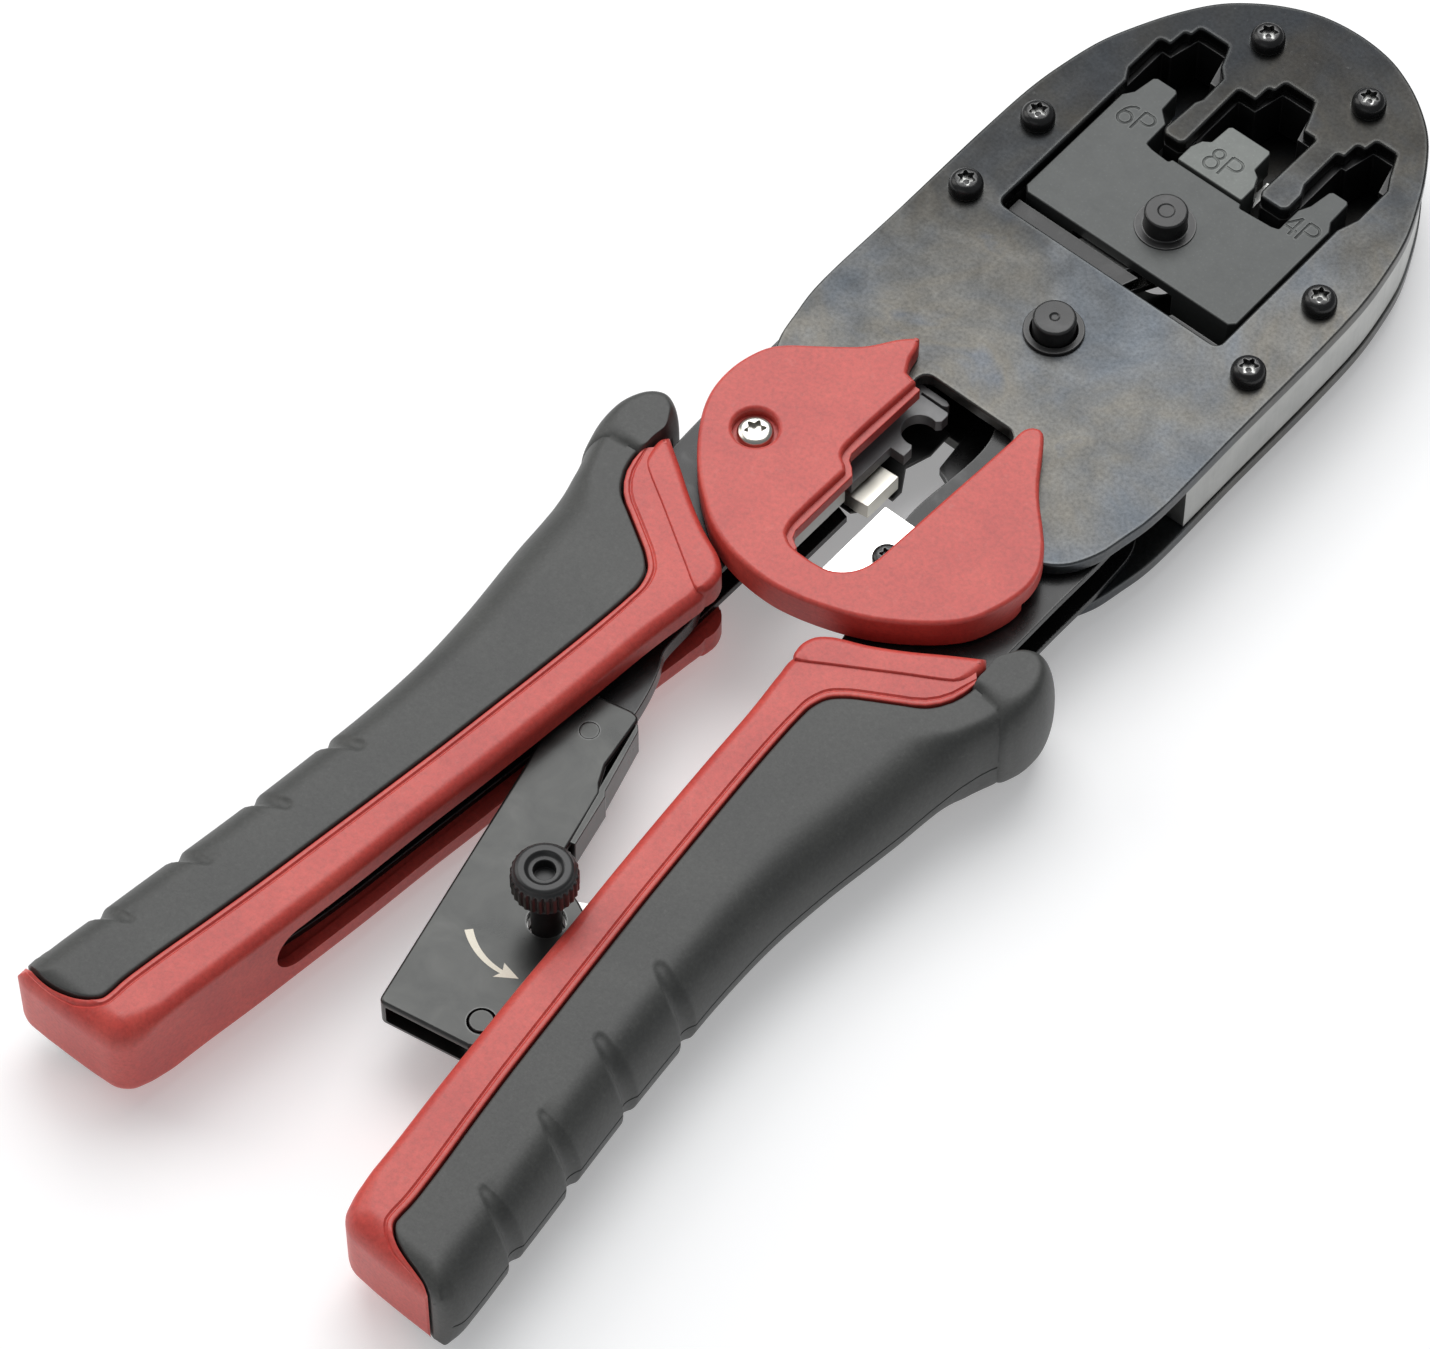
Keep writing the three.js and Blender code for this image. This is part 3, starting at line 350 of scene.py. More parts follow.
def tube(name, points, rad, closed=False, sides=8):
    p = np.array(points, float)
    n = len(p)
    verts, faces = [], []
    for i in range(n):
        a = p[(i - 1) % n] if closed or i else p[0]
        c = p[(i + 1) % n] if closed or i < n - 1 else p[-1]
        t = c - a
        t /= np.linalg.norm(t)
        side = np.cross(t, (0, 0, 1.0))
        if np.linalg.norm(side) < 1e-6:
            side = np.array((1.0, 0, 0))
        side /= np.linalg.norm(side)
        up = np.cross(side, t)
        for k in range(sides):
            ang = 2 * math.pi * k / sides
            verts.append(p[i] + rad * (math.cos(ang) * side + math.sin(ang) * up))
    m = n if closed else n - 1
    for i in range(m):
        j = (i + 1) % n
        for k in range(sides):
            l = (k + 1) % sides
            faces.append((i * sides + k, i * sides + l, j * sides + l, j * sides + k))
    if not closed:
        faces.append(list(range(sides))[::-1])
        faces.append([(n - 1) * sides + k for k in range(sides)])
    return new_object(name, verts, faces)


def apply_mods(o):
    dg = bpy.context.evaluated_depsgraph_get()
    me = bpy.data.meshes.new_from_object(o.evaluated_get(dg))
    old = o.data
    o.modifiers.clear()
    o.data = me
    me.name = o.name
    bpy.data.meshes.remove(old)
    return o


def boolean(o, other, mode="DIFFERENCE", self_cut=False, keep=False):
    m = o.modifiers.new("b", "BOOLEAN")
    m.operation, m.object, m.solver = mode, other, "EXACT"
    m.use_self = self_cut
    bpy.context.view_layer.update()
    apply_mods(o)
    if not keep:
        me = other.data
        bpy.data.objects.remove(other)
        bpy.data.meshes.remove(me)
    return o


def tidy(o, angle=32.0, dist=1.5e-6):
    bm = bmesh.new()
    bm.from_mesh(o.data)
    bmesh.ops.remove_doubles(bm, verts=bm.verts, dist=dist)
    bmesh.ops.dissolve_degenerate(bm, dist=1e-7, edges=bm.edges)
    loose = [v for v in bm.verts if not v.link_faces]
    if loose:
        bmesh.ops.delete(bm, geom=loose, context="VERTS")
    bm.to_mesh(o.data)
    bm.free()
    return o


def flatten(o, deg=0.35):
    """Joins the triangles of every flat face, so that flats shade flat."""
    bm = bmesh.new()
    bm.from_mesh(o.data)
    bmesh.ops.dissolve_limit(bm, angle_limit=math.radians(deg), use_dissolve_boundaries=False, verts=[], edges=bm.edges[:])
    bm.to_mesh(o.data)
    bm.free()


def shade(o, angle=34.0, weighted=True):
    me = o.data
    me.shade_smooth()
    me.set_sharp_from_angle(angle=math.radians(angle))
    if weighted:
        m = o.modifiers.new("normals", "WEIGHTED_NORMAL")
        m.mode, m.weight, m.keep_sharp = "FACE_AREA", 100, True
    return o


def put(o, body, slot, mat, *nodes, angle=34.0, weighted=True, join=True):
    if join:
        flatten(o)
    shade(o, angle, weighted)
    o.data.materials.clear()
    o.data.materials.append(mat)
    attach(o, body)
    if nodes:
        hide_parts(*nodes)
    return o


# ------------------------------------------------------------------ materials
class Nodes:
    def __init__(self, name):
        self.mat = bpy.data.materials.new(name)
        self.mat.use_nodes = True
        self.t = self.mat.node_tree
        self.bsdf = next(n for n in self.t.nodes if n.type == "BSDF_PRINCIPLED")
        self.coord = self.t.nodes.new("ShaderNodeTexCoord").outputs["Object"]

    def new(self, kind, **props):
        n = self.t.nodes.new(kind)
        for k, v in props.items():
            setattr(n, k, v)
        return n

    def link(self, a, c):
        self.t.links.new(a, c)

    def stretch(self, scale, turn=(0, 0, 0)):
        m = self.new("ShaderNodeMapping")
        m.inputs["Scale"].default_value = scale
        m.inputs["Rotation"].default_value = turn
        self.link(self.coord, m.inputs["Vector"])
        return m.outputs["Vector"]

    def noise(self, size_mm, detail=3.0, rough=0.55, distort=0.0, vector=None):
        n = self.new("ShaderNodeTexNoise")
        n.inputs["Scale"].default_value = 1000.0 / size_mm
        n.inputs["Detail"].default_value = detail
        n.inputs["Roughness"].default_value = rough
        n.inputs["Distortion"].default_value = distort
        self.link(vector or self.coord, n.inputs["Vector"])
        return n.outputs["Fac"]

    def voronoi(self, size_mm, feature="F1", rnd=1.0, vector=None):
        n = self.new("ShaderNodeTexVoronoi", feature=feature)
        n.inputs["Scale"].default_value = 1000.0 / size_mm
        n.inputs["Randomness"].default_value = rnd
        self.link(vector or self.coord, n.inputs["Vector"])
        return n.outputs["Distance"]

    def ramp(self, fac, stops, interp="LINEAR"):
        n = self.new("ShaderNodeValToRGB")
        n.color_ramp.interpolation = interp
        e = n.color_ramp.elements
        while len(e) < len(stops):
            e.new(0.5)
        for i, (pos, col) in enumerate(stops):
            e[i].position = pos
            col = (col, col, col) if isinstance(col, (int, float)) else col
            e[i].color = (*col, 1.0)
        self.link(fac, n.inputs["Fac"])
        return n.outputs["Color"]

    def mix(self, fac, a, c, kind="MIX"):
        n = self.new("ShaderNodeMix", data_type="RGBA", blend_type=kind)
        for v, s in ((fac, n.inputs["Factor"]), (a, n.inputs["A"]), (c, n.inputs["B"])):
            if isinstance(v, (int, float)):
                s.default_value = v if s.type == "VALUE" else (v, v, v, 1)
            elif isinstance(v, tuple):
                s.default_value = (*v, 1.0)
            else:
                self.link(v, s)
        return n.outputs["Result"]

    def math(self, op, a, c=0.0, clamp=False):
        n = self.new("ShaderNodeMath", operation=op, use_clamp=clamp)
        for v, s in ((a, n.inputs[0]), (c, n.inputs[1])):
            if isinstance(v, (int, float)):
                s.default_value = v
            else:
                self.link(v, s)
        return n.outputs[0]

    def edges(self, lo=0.5, hi=0.56, reach=0.35):
        # how far the surface turns within the reach in mm, so it marks edges and leaves flats alone
        g = self.new("ShaderNodeNewGeometry")
        near_edge = self.new("ShaderNodeBevel", samples=4)
        near_edge.inputs["Radius"].default_value = reach * MM
        dot = self.new("ShaderNodeVectorMath", operation="DOT_PRODUCT")
        self.link(g.outputs["True Normal"], dot.inputs[0])
        self.link(near_edge.outputs["Normal"], dot.inputs[1])
        return self.ramp(self.math("SUBTRACT", 1.0, dot.outputs["Value"]), [(0.01, 0.0), (0.12, 1.0)])

    def bump(self, layers):
        """layers: (height socket, strength, depth in mm), laid one on another."""
        normal = None
        for height, strength, depth in layers:
            n = self.new("ShaderNodeBump")
            n.inputs["Strength"].default_value = strength
            n.inputs["Distance"].default_value = depth * MM
            self.link(height, n.inputs["Height"])
            if normal is not None:
                self.link(normal, n.inputs["Normal"])
            normal = n.outputs["Normal"]
        self.link(normal, self.bsdf.inputs["Normal"])

    def set(self, **kw):
        for k, v in kw.items():
            s = self.bsdf.inputs[k.replace("_", " ")]
            if isinstance(v, (int, float)):
                s.default_value = v
            elif isinstance(v, tuple):
                s.default_value = (*v, 1.0) if s.type == "RGBA" and len(v) == 3 else v
            else:
                self.link(v, s)


def gunmetal():
    m = Nodes("gunmetal_plate")
    patch = m.noise(19, 4, 0.60, 0.5)
    patch2 = m.noise(6.5, 4, 0.55, 0.6)
    fine = m.noise(0.45, 3, 0.6)
    tint = m.ramp(patch, [(0.30, (0.060, 0.070, 0.082)), (0.45, (0.072, 0.076, 0.080)), (0.54, (0.079, 0.079, 0.076)), (0.62, (0.088, 0.084, 0.075)), (0.72, (0.070, 0.075, 0.082))])
    cloud = m.ramp(patch2, [(0.33, 0.86), (0.5, 1.0), (0.68, 1.14)])
    col = m.mix(1.0, tint, cloud, "MULTIPLY")
    # painted shade: the plate's colour darkens towards the tip and the left, standing in for its reflection falling off
    # there
    xyz = m.new("ShaderNodeSeparateXYZ")
    m.link(m.coord, xyz.inputs[0])
    painted_shade_falloff = m.math("SUBTRACT", m.math("MULTIPLY", xyz.outputs[0], 14.5), m.math("MULTIPLY", xyz.outputs[1], 14.5))
    painted_shade_falloff = m.math("ADD", painted_shade_falloff, m.math("MULTIPLY", m.math("SUBTRACT", patch2, 0.5), 0.35))
    painted_shade_ramp = m.ramp(m.math("ADD", painted_shade_falloff, 1.52, True), [(0.0, 0.23), (0.35, 0.33), (0.75, 0.86), (1.0, 1.02)])
    col = m.mix(1.0, col, painted_shade_ramp, "MULTIPLY")
    col = m.mix(1.0, col, m.ramp(m.noise(0.5, 3, 0.65), [(0.32, 0.80), (0.5, 1.0), (0.70, 1.20)]), "MULTIPLY")
    scuff = m.ramp(m.noise(0.9, 6, 0.75), [(0.62, 0.0), (0.80, 0.25)])
    col = m.mix(scuff, col, (0.16, 0.16, 0.155))
    col = m.mix(m.math("MULTIPLY", m.edges(reach=0.9), 0.42), col, (0.20, 0.205, 0.20))
    rough = m.math("ADD", m.math("MULTIPLY", m.noise(3.0, 5, 0.65), 0.16), 0.22)
    rough = m.math("ADD", rough, m.math("MULTIPLY", fine, 0.06))
    m.set(Base_Color=col, Metallic=0.9, Roughness=rough)
    lines = m.noise(1.0, 2, 0.5, 0, m.stretch((1.0, 0.05, 1.0), (0, 0, 0.18)))
    m.bump([(fine, 0.28, 0.010), (lines, 0.10, 0.010), (m.noise(9, 2), 0.25, 0.05)])
    return m.mat


def oxide(name="black_oxide", base=0.028, rough=0.34, metal=0.55, wear=0.35):
    m = Nodes(name)
    grain = m.noise(0.35, 3, 0.6)
    cloud = m.noise(4.0, 4, 0.6, 0.5)
    col = m.ramp(cloud, [(0.3, base * 0.8), (0.55, base), (0.72, base * 1.5)])
    col = m.mix(m.math("MULTIPLY", m.edges(0.51, 0.575), wear), col, (0.22, 0.22, 0.215))
    rr = m.math("ADD", m.math("MULTIPLY", cloud, 0.18), rough - 0.09)
    m.set(Base_Color=col, Metallic=metal, Roughness=rr)
    m.bump([(grain, 0.25, 0.012), (m.noise(1.6, 3), 0.12, 0.02)])
    return m.mat


def sheet_black():
    m = Nodes("sheet_black")
    cloud = m.noise(6.0, 4, 0.6, 0.6)
    grain = m.noise(0.25, 2, 0.5)
    col = m.ramp(cloud, [(0.3, (0.040, 0.041, 0.040)), (0.6, (0.056, 0.057, 0.055)), (0.75, (0.068, 0.068, 0.066))])
    col = m.mix(m.math("MULTIPLY", m.edges(0.51, 0.58), 0.25), col, (0.30, 0.30, 0.30))
    m.set(Base_Color=col, Metallic=0.75, Roughness=m.math("ADD", m.math("MULTIPLY", cloud, 0.16), 0.22))
    m.bump([(grain, 0.12, 0.008), (m.noise(7, 2), 0.25, 0.04)])
    return m.mat


def spacer():
    m = Nodes("spacer_steel")
    lines = m.noise(0.5, 3, 0.6, 0, m.stretch((1.0, 1.0, 0.06)))
    cloud = m.noise(5, 4, 0.6)
    col = m.mix(cloud, (0.33, 0.335, 0.325), (0.55, 0.55, 0.53))
    m.set(Base_Color=col, Metallic=0.95, Roughness=m.math("ADD", m.math("MULTIPLY", lines, 0.22), 0.26), Anisotropic=0.4)
    m.bump([(lines, 0.3, 0.012)])
    return m.mat


def phosphate(name, a, c, rough):
    m = Nodes(name)
    grain = m.noise(0.28, 4, 0.65)
    cloud = m.noise(3.2, 4, 0.6, 0.4)
    speck = m.ramp(m.voronoi(0.55), [(0.0, 1.25), (0.22, 1.0), (1.0, 0.95)])
    col = m.mix(1.0, m.mix(cloud, a, c), speck, "MULTIPLY")
    col = m.mix(m.math("MULTIPLY", m.edges(0.505, 0.57), 0.30), col, (0.30, 0.31, 0.30))
    m.set(Base_Color=col, Metallic=0.55, Roughness=m.math("ADD", m.math("MULTIPLY", grain, 0.14), rough))
    m.bump([(grain, 0.35, 0.014), (cloud, 0.15, 0.03)])
    return m.mat


def bright(name="bright_steel", base=(0.78, 0.78, 0.76), rough=0.14, lines_at=(0.04, 1.0, 1.0)):
    m = Nodes(name)
    lines = m.noise(0.35, 3, 0.6, 0, m.stretch(lines_at))
    cloud = m.noise(2.5, 3)
    col = m.mix(cloud, tuple(x * 0.86 for x in base), base)
    m.set(Base_Color=col, Metallic=1.0, Roughness=m.math("ADD", m.math("MULTIPLY", lines, 0.14), rough), Anisotropic=0.25)
    m.bump([(lines, 0.16, 0.006)])
    return m.mat


def red():
    m = Nodes("red_plastic")
    grain = m.noise(0.34, 3, 0.6)
    pits = m.voronoi(0.42, "SMOOTH_F1")
    cloud = m.noise(9, 4, 0.6, 0.4)
    col = m.ramp(cloud, [(0.28, (0.490, 0.050, 0.041)), (0.5, (0.550, 0.062, 0.048)), (0.74, (0.600, 0.078, 0.058))])
    speck = m.ramp(m.noise(0.55, 4, 0.7), [(0.32, 0.84), (0.5, 1.0), (0.70, 1.13)])
    col = m.mix(1.0, col, speck, "MULTIPLY")
    dust = m.ramp(m.noise(1.3, 6, 0.75), [(0.58, 0.0), (0.80, 0.22)])
    col = m.mix(dust, col, (0.66, 0.27, 0.23))
    m.set(Base_Color=col, Roughness=m.math("ADD", m.math("MULTIPLY", grain, 0.12), 0.36), Specular_IOR_Level=0.55, Subsurface_Weight=0.04, Subsurface_Scale=0.001, Subsurface_Radius=(1.0, 0.25, 0.15))
    m.bump([(pits, 0.32, 0.022), (grain, 0.30, 0.016), (cloud, 0.10, 0.05)])
    return m.mat


def rubber():
    m = Nodes("black_rubber")
    grain = m.noise(0.30, 4, 0.65)
    pits = m.voronoi(0.36, "SMOOTH_F1")
    cloud = m.noise(11, 4, 0.6, 0.3)
    col = m.ramp(cloud, [(0.3, (0.030, 0.031, 0.029)), (0.55, (0.037, 0.038, 0.035)), (0.75, (0.045, 0.046, 0.042))])
    speck = m.ramp(m.noise(0.5, 4, 0.7), [(0.30, 0.78), (0.5, 1.0), (0.70, 1.25)])
    col = m.mix(1.0, col, speck, "MULTIPLY")
    dust = m.ramp(m.noise(0.9, 6, 0.78), [(0.56, 0.0), (0.82, 0.34)])
    col = m.mix(dust, col, (0.13, 0.13, 0.12))
    m.set(Base_Color=col, Roughness=m.math("ADD", m.math("MULTIPLY", grain, 0.14), 0.46), Specular_IOR_Level=0.62, Sheen_Weight=0.05, Sheen_Roughness=0.5)
    m.bump([(pits, 0.35, 0.020), (grain, 0.35, 0.016), (cloud, 0.12, 0.08)])
    return m.mat


def grey_plastic():
    m = Nodes("stripper_grey")
    grain = m.noise(0.3, 3, 0.6)
    cloud = m.noise(2.0, 3)
    m.set(Base_Color=m.mix(cloud, (0.12, 0.12, 0.122), (0.19, 0.19, 0.19)), Metallic=0.3, Roughness=m.math("ADD", m.math("MULTIPLY", grain, 0.15), 0.36))
    m.bump([(grain, 0.3, 0.014)])
    return m.mat


def ink():
    m = Nodes("cream_ink")
    grain = m.noise(0.25, 3, 0.6)
    m.set(Base_Color=m.mix(grain, (0.74, 0.68, 0.54), (0.90, 0.86, 0.74)), Roughness=m.math("ADD", m.math("MULTIPLY", grain, 0.1), 0.42))
    m.bump([(grain, 0.2, 0.008)])
    return m.mat


M = {
    "gunmetal_plate": gunmetal(), "black_oxide": oxide(), "spacer_steel": spacer(),
    "slider_grey": phosphate("slider_grey", (0.060, 0.063, 0.062), (0.082, 0.086, 0.084), 0.40),
    "insert_grey": phosphate("insert_grey", (0.112, 0.119, 0.113), (0.152, 0.161, 0.153), 0.42),
    "bright_steel": bright(), "red_plastic": red(), "black_rubber": rubber(), "stripper_grey": grey_plastic(),
}
SHEET = sheet_black()
SCREW = oxide("screw_black", 0.020, 0.26, 0.45, 0.5)
PIN = oxide("pin_black", 0.036, 0.30, 0.55, 0.3)
ARM = oxide("arm_oxide", 0.034, 0.27, 0.75, 0.5)
CREAM = bright("honed_steel", (0.80, 0.78, 0.70), 0.26, (1.0, 0.05, 1.0))
INK = ink()
STAR = bright("nickel_screw", (0.62, 0.60, 0.54), 0.16, (1.0, 1.0, 0.1))

slots = {s["node"]: s["material_slot"] for s in frame["record"]["subparts"]}
for n, o in frame["nodes"].items():
    o.data.materials.clear()
    o.data.materials.append(M[slots[n]])
    for p in o.data.polygons:
        p.use_smooth = False

# ------------------------------------------------------------------ head
head_right = [(5.3, 61.9), (9.3, 60.4), (13.0, 58.2), (16.7, 55), (20, 50.3), (22.7, 45), (24.7, 40), (26, 34),
              (26.7, 28.7), (27, 20), (27, 3), (27, -14), (26.3, -18.5), (25.3, -23), (23.2, -26.7), (20.0, -28.8), (16.5, -29.5)]
head_left = [(-x, y) for x, y in head_right][::-1]
notch = fillet([(6.5, -29.5), (6.5, -15.2, 1.5), (-8.2, -15.2, 1.5), (-8.2, -29.5)])
head_outline = smooth([*head_right, (6.5, -29.5), (6.5, -15.2), (-8.2, -15.2), (-8.2, -29.5), *head_left, (0, 62.5)], 0.8, 50)


def near(p, q, tol=0.02):
    return math.hypot(p[0] - q[0], p[1] - q[1]) < tol


def round_at(pts, spots):
    """Gives the points that lie on the spots a corner radius."""
    out = []
    for p in pts:
        rad = next((s[2] for s in spots if near(p, s)), 0.0)
        out.append((p[0], p[1], rad))
    return fillet(out)


head_outline = round_at(head_outline, [(6.5, -15.2, 1.4), (-8.2, -15.2, 1.4), (6.5, -29.5, 0.5), (-8.2, -29.5, 0.5)])
window = [(-18, 37.2), (-18, 11.3, 1.1), (17, 11.3, 1.1), (17, 35.5), (18, 38.5), (18, 44.6), (17, 46.4), (16.2, 48.2), (15.4, 50), (12.3, 50), (12.0, 48), (10.8, 48), (10.7, 45.3), (9.7, 45.3),
          (9.7, 38.6), (10.4, 37), (10.4, 34.2, 1.0), (9.7, 33.5, 0.8), (6.6, 33.5, 0.8), (6.0, 34.2, 0.8), (6.2, 45.3), (4.1, 45.3), (3.4, 47.3), (2.3, 50),
          (-2.3, 50), (-2.6, 48), (-3.4, 48), (-3.5, 45.3), (-6.2, 45.3), (-6.1, 34.2, 0.8), (-6.7, 33.5, 0.8), (-8.9, 33.5, 0.8), (-9.6, 34.2, 0.8), (-9.3, 40), (-8.8, 41),
          (-8.9, 45.3), (-10.3, 46.7), (-11.6, 50), (-16.1, 50), (-16.3, 48.3), (-17.2, 48.2), (-17.4, 45.4), (-19, 45.3), (-19, 39)]
window_cut = fillet(window, 0.45, 4)
head_holes = [circle(x, y, 1.9, 32) for x, y in SCREWS] + [circle(x, y, 1.8, 32) for x, y in ARM_RIVETS] + [circle(0, 0, PIVOT_R + 0.25, 40)]
o = plate("head_front", head_outline, PLATE_IN, PLATE_OUT, 0.36, 0.15, [window_cut, *head_holes], 4)
put(o, "frame", "gunmetal_plate", M["gunmetal_plate"], "head_plate_front")
slot_cut = fillet([(-3.6, 18.6, 3.2), (3.2, 18.6, 3.2), (3.2, 28.6, 3.2), (-3.6, 28.6, 3.2)], 3.2, 8)
o = plate("head_back", head_outline, -PLATE_OUT, -PLATE_IN, 0.15, 0.24, [slot_cut, *head_holes], 4)
put(o, "frame", "gunmetal_plate", M["gunmetal_plate"], "head_plate_back")

band = [(27, -7.3), (27, 3), (27, 20), *[p for p in head_right if p[1] > 21][::-1], (0, 62.5), *[p for p in head_left if p[1] > 21][::-1], (-27, 20), (-27, 3), (-27, -7.3)]
band = [(x - 0.25 * x / (math.hypot(x, y - 20) or 1), y - 0.25 * (y - 20) / (math.hypot(x, y - 20) or 1)) for x, y in band]
band = smooth(band, 0.8, 50, closed=False)
inner_band = [(-18.2, -7.3), (-18.2, 36.0), (-20.2, 38.0), (-20.2, 46.2), (-16.6, 52.6), (-13.6, 54.2), (-12, 54.2), (-10.8, 50.9), (-5.4, 50.9), (-4.2, 54.2), (4.2, 54.2), (5.4, 50.9), (10.8, 50.9), (12.0, 54.2), (13.6, 54.2), (16.6, 52.6), (20.2, 46.2), (20.2, 38.0), (18.2, 36.0), (18.2, -7.3)]
o = plate("spacer_band", band + inner_band, -CORE, CORE, 0.12, holes=[circle(x, y, 1.9, 32) for x, y in SCREWS], seg=2)
put(o, "frame", "spacer_steel", M["spacer_steel"], "head_spacer")


def refine(node, width, seg=2, name=None, mat=None, angle=28):
    """Copy of a CAD node with its coplanar triangles joined and its edges rolled."""
    src = frame["nodes"][node]
    me = src.data.copy()
    me.name = name or node + "_fine"
    bm = bmesh.new()
    bm.from_mesh(me)
    bmesh.ops.remove_doubles(bm, verts=bm.verts, dist=2e-6)
    bmesh.ops.dissolve_limit(bm, angle_limit=math.radians(1.0), verts=bm.verts, edges=bm.edges)
    bm.to_mesh(me)
    bm.free()
    o = bpy.data.objects.new(name or node + "_fine", me)
    scene.collection.objects.link(o)
    m = o.modifiers.new("roll", "BEVEL")
    m.width, m.segments, m.limit_method, m.angle_limit = width * MM, seg, "ANGLE", math.radians(angle)
    m.use_clamp_overlap = True
    bpy.context.view_layer.update()
    apply_mods(o)
    put(o, src["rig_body"], slots[node], mat or M[slots[node]], node)
    return o


refine("die_nest", 0.14)
for n in ("contact_comb_8p", "contact_comb_6p", "contact_comb_4p", "anvil_rail"):
    refine(n, 0.06)
refine("backing_plate", 0.08)
refine("stripping_blade", 0.08, mat=CREAM)
refine("slide_stop_strip", 0.08)

slider_outline = [(-16.8, 15.5), (15.4, 15.5), (16.2, 16.3), (16.2, 35.2), (15.4, 36.6), (15.3, 40.2), (14.9, 40.6), (12.7, 40.6), (12.3, 40.2), (11.8, 37), (11.0, 35.4),
                  (11.0, 31.5), (10.0, 31.2), (5.2, 30.9), (5.0, 31.5), (-6.1, 31.5), (-6.2, 30.9), (-9.0, 31.1), (-10.1, 31.4), (-10.2, 35.4), (-12.0, 37), (-12.2, 40.2), (-12.6, 40.6), (-15.6, 40.6), (-16.1, 40.2),
                  (-16.6, 37), (-17.6, 35.6), (-17.6, 16.3)]


def glyph(ch):
    """Strokes of a plain character in a box 0.6 wide and 1 high."""
    ring = lambda cx, cy, rad, n=20, ry=None: [(cx + rad * math.cos(2 * math.pi * i / n), cy + (ry or rad) * math.sin(2 * math.pi * i / n)) for i in range(n)]
    if ch == "P":
        return [([(0, 0), (0, 0.98)], False), ([(0, 0.98), (0.3, 0.98)] + [(0.32 + 0.25 * math.sin(t), 0.73 + 0.25 * math.cos(t)) for t in np.linspace(0.1, math.pi - 0.1, 9)] + [(0.3, 0.48), (0, 0.48)], False)]
    if ch == "4":
        return [([(0.46, 0), (0.46, 0.98)], False), ([(0.46, 0.98), (0.0, 0.3)], False), ([(0.0, 0.3), (0.64, 0.3)], False)]
    if ch == "6":
        return [(ring(0.3, 0.29, 0.28), True), ([(0.50, 0.95), (0.33, 0.93), (0.17, 0.80), (0.07, 0.6), (0.02, 0.38)], False)]
    return [(ring(0.3, 0.26, 0.27), True), (ring(0.3, 0.76, 0.21), True)]


def engrave(o, text, cx, cy, high, top, rad=0.22):
    wide = 0.78 * high
    x0 = cx - (wide * len(text) - 0.18 * high) / 2
    for i, ch in enumerate(text):
        for j, (line, closed) in enumerate(glyph(ch)):
            pts = [(x0 + i * wide + px * high, cy - high / 2 + py * high, top + 0.05) for px, py in line]
            boolean(o, tube(f"stroke_{i}_{j}", pts, rad, closed), "DIFFERENCE")
    return o


o = plate("slider_top", fillet(slider_outline, 0.3, 3), -CORE, 5.0, 0.22, 0.05, seg=3)
boolean(o, plate("cut", [(-9.4, 14.0), (6.6, 14.0), (6.6, 27.4), (-9.4, 27.4)], -9, 3.3, 0))
boolean(o, plate("cut", circle(*SLIDER_PIN, 1.95, 40), -9, 9, 0))
boolean(o, plate("cut", [(-18, 34.4), (17, 34.4), (17, 42), (-18, 42)], -9, 0.4, 0))
engrave(o, "6P", -13.6, 33.6, 3.4, 5.0)
engrave(o, "4P", 13.2, 33.2, 3.3, 5.0)
tidy(o)
put(o, "slider", "slider_grey", M["slider_grey"], "slider_block")

clamp = [(-5.6, 31.9), (4.7, 31.9), (4.7, 34.6), (4.0, 36.2), (3.0, 36.9), (2.9, 40.1), (2.6, 40.5), (-3.4, 40.5), (-3.8, 40.1), (-4.0, 36.9), (-5.0, 36.2), (-5.6, 34.6)]
o = plate("cord_clamp", fillet(clamp, 0.3, 3), 0.7, 5.1, 0.2, 0.05)
engrave(o, "8P", -0.6, 35.0, 3.5, 5.1)
tidy(o)
put(o, "slider", "insert_grey", M["insert_grey"], "cord_clamp_8p")

# pins, washers and screws of the head
o = lathe("slider_pin_turned", *SLIDER_PIN, rolled([(0, -5.6), (1.65, -5.6, 0.2), (1.65, 5.06), (3.95, 5.06), (3.95, 5.2, 0.08), (2.8, 5.2, 0.15), (2.8, 8.1, 0.42), (1.15, 8.1, 0.1), (0.95, 7.98, 0.1), (0, 7.94)]), 72)
put(o, "slider", "black_oxide", PIN, "slider_pin", angle=40)
o = lathe("pivot_pin_turned", 0, 0, rolled([(0, -9.0), (2.75, -9.0, 0.4), (2.75, 9.0, 0.45), (0.7, 9.0, 0.1), (0.45, 8.85, 0.1), (0, 8.8)]), 72)
put(o, "frame", "black_oxide", PIN, "pivot_pin", angle=40)
for name, z0, z1, node in (("pivot_ring_front", 6.05, 6.5, "pivot_washer_front"), ("pivot_ring_back", -6.5, -6.05, "pivot_washer_back")):
    o = plate(name, circle(0, 0, 3.9, 72), z0, z1, 0.13 if z0 > 0 else 0.05, 0.05 if z0 > 0 else 0.13, [circle(0, 0, 3.0, 72)], 3)
    put(o, "frame", "black_oxide", PIN, node)


def star_points(cx, cy, rad, turn=0.0, n=72):
    out = []
    for i in range(n):
        a = 2 * math.pi * i / n
        k = 0.5 + 0.5 * math.cos(6 * (a + turn))
        out.append((cx + rad * (0.66 + 0.34 * k**1.3) * math.cos(a), cy + rad * (0.66 + 0.34 * k**1.3) * math.sin(a)))
    return out


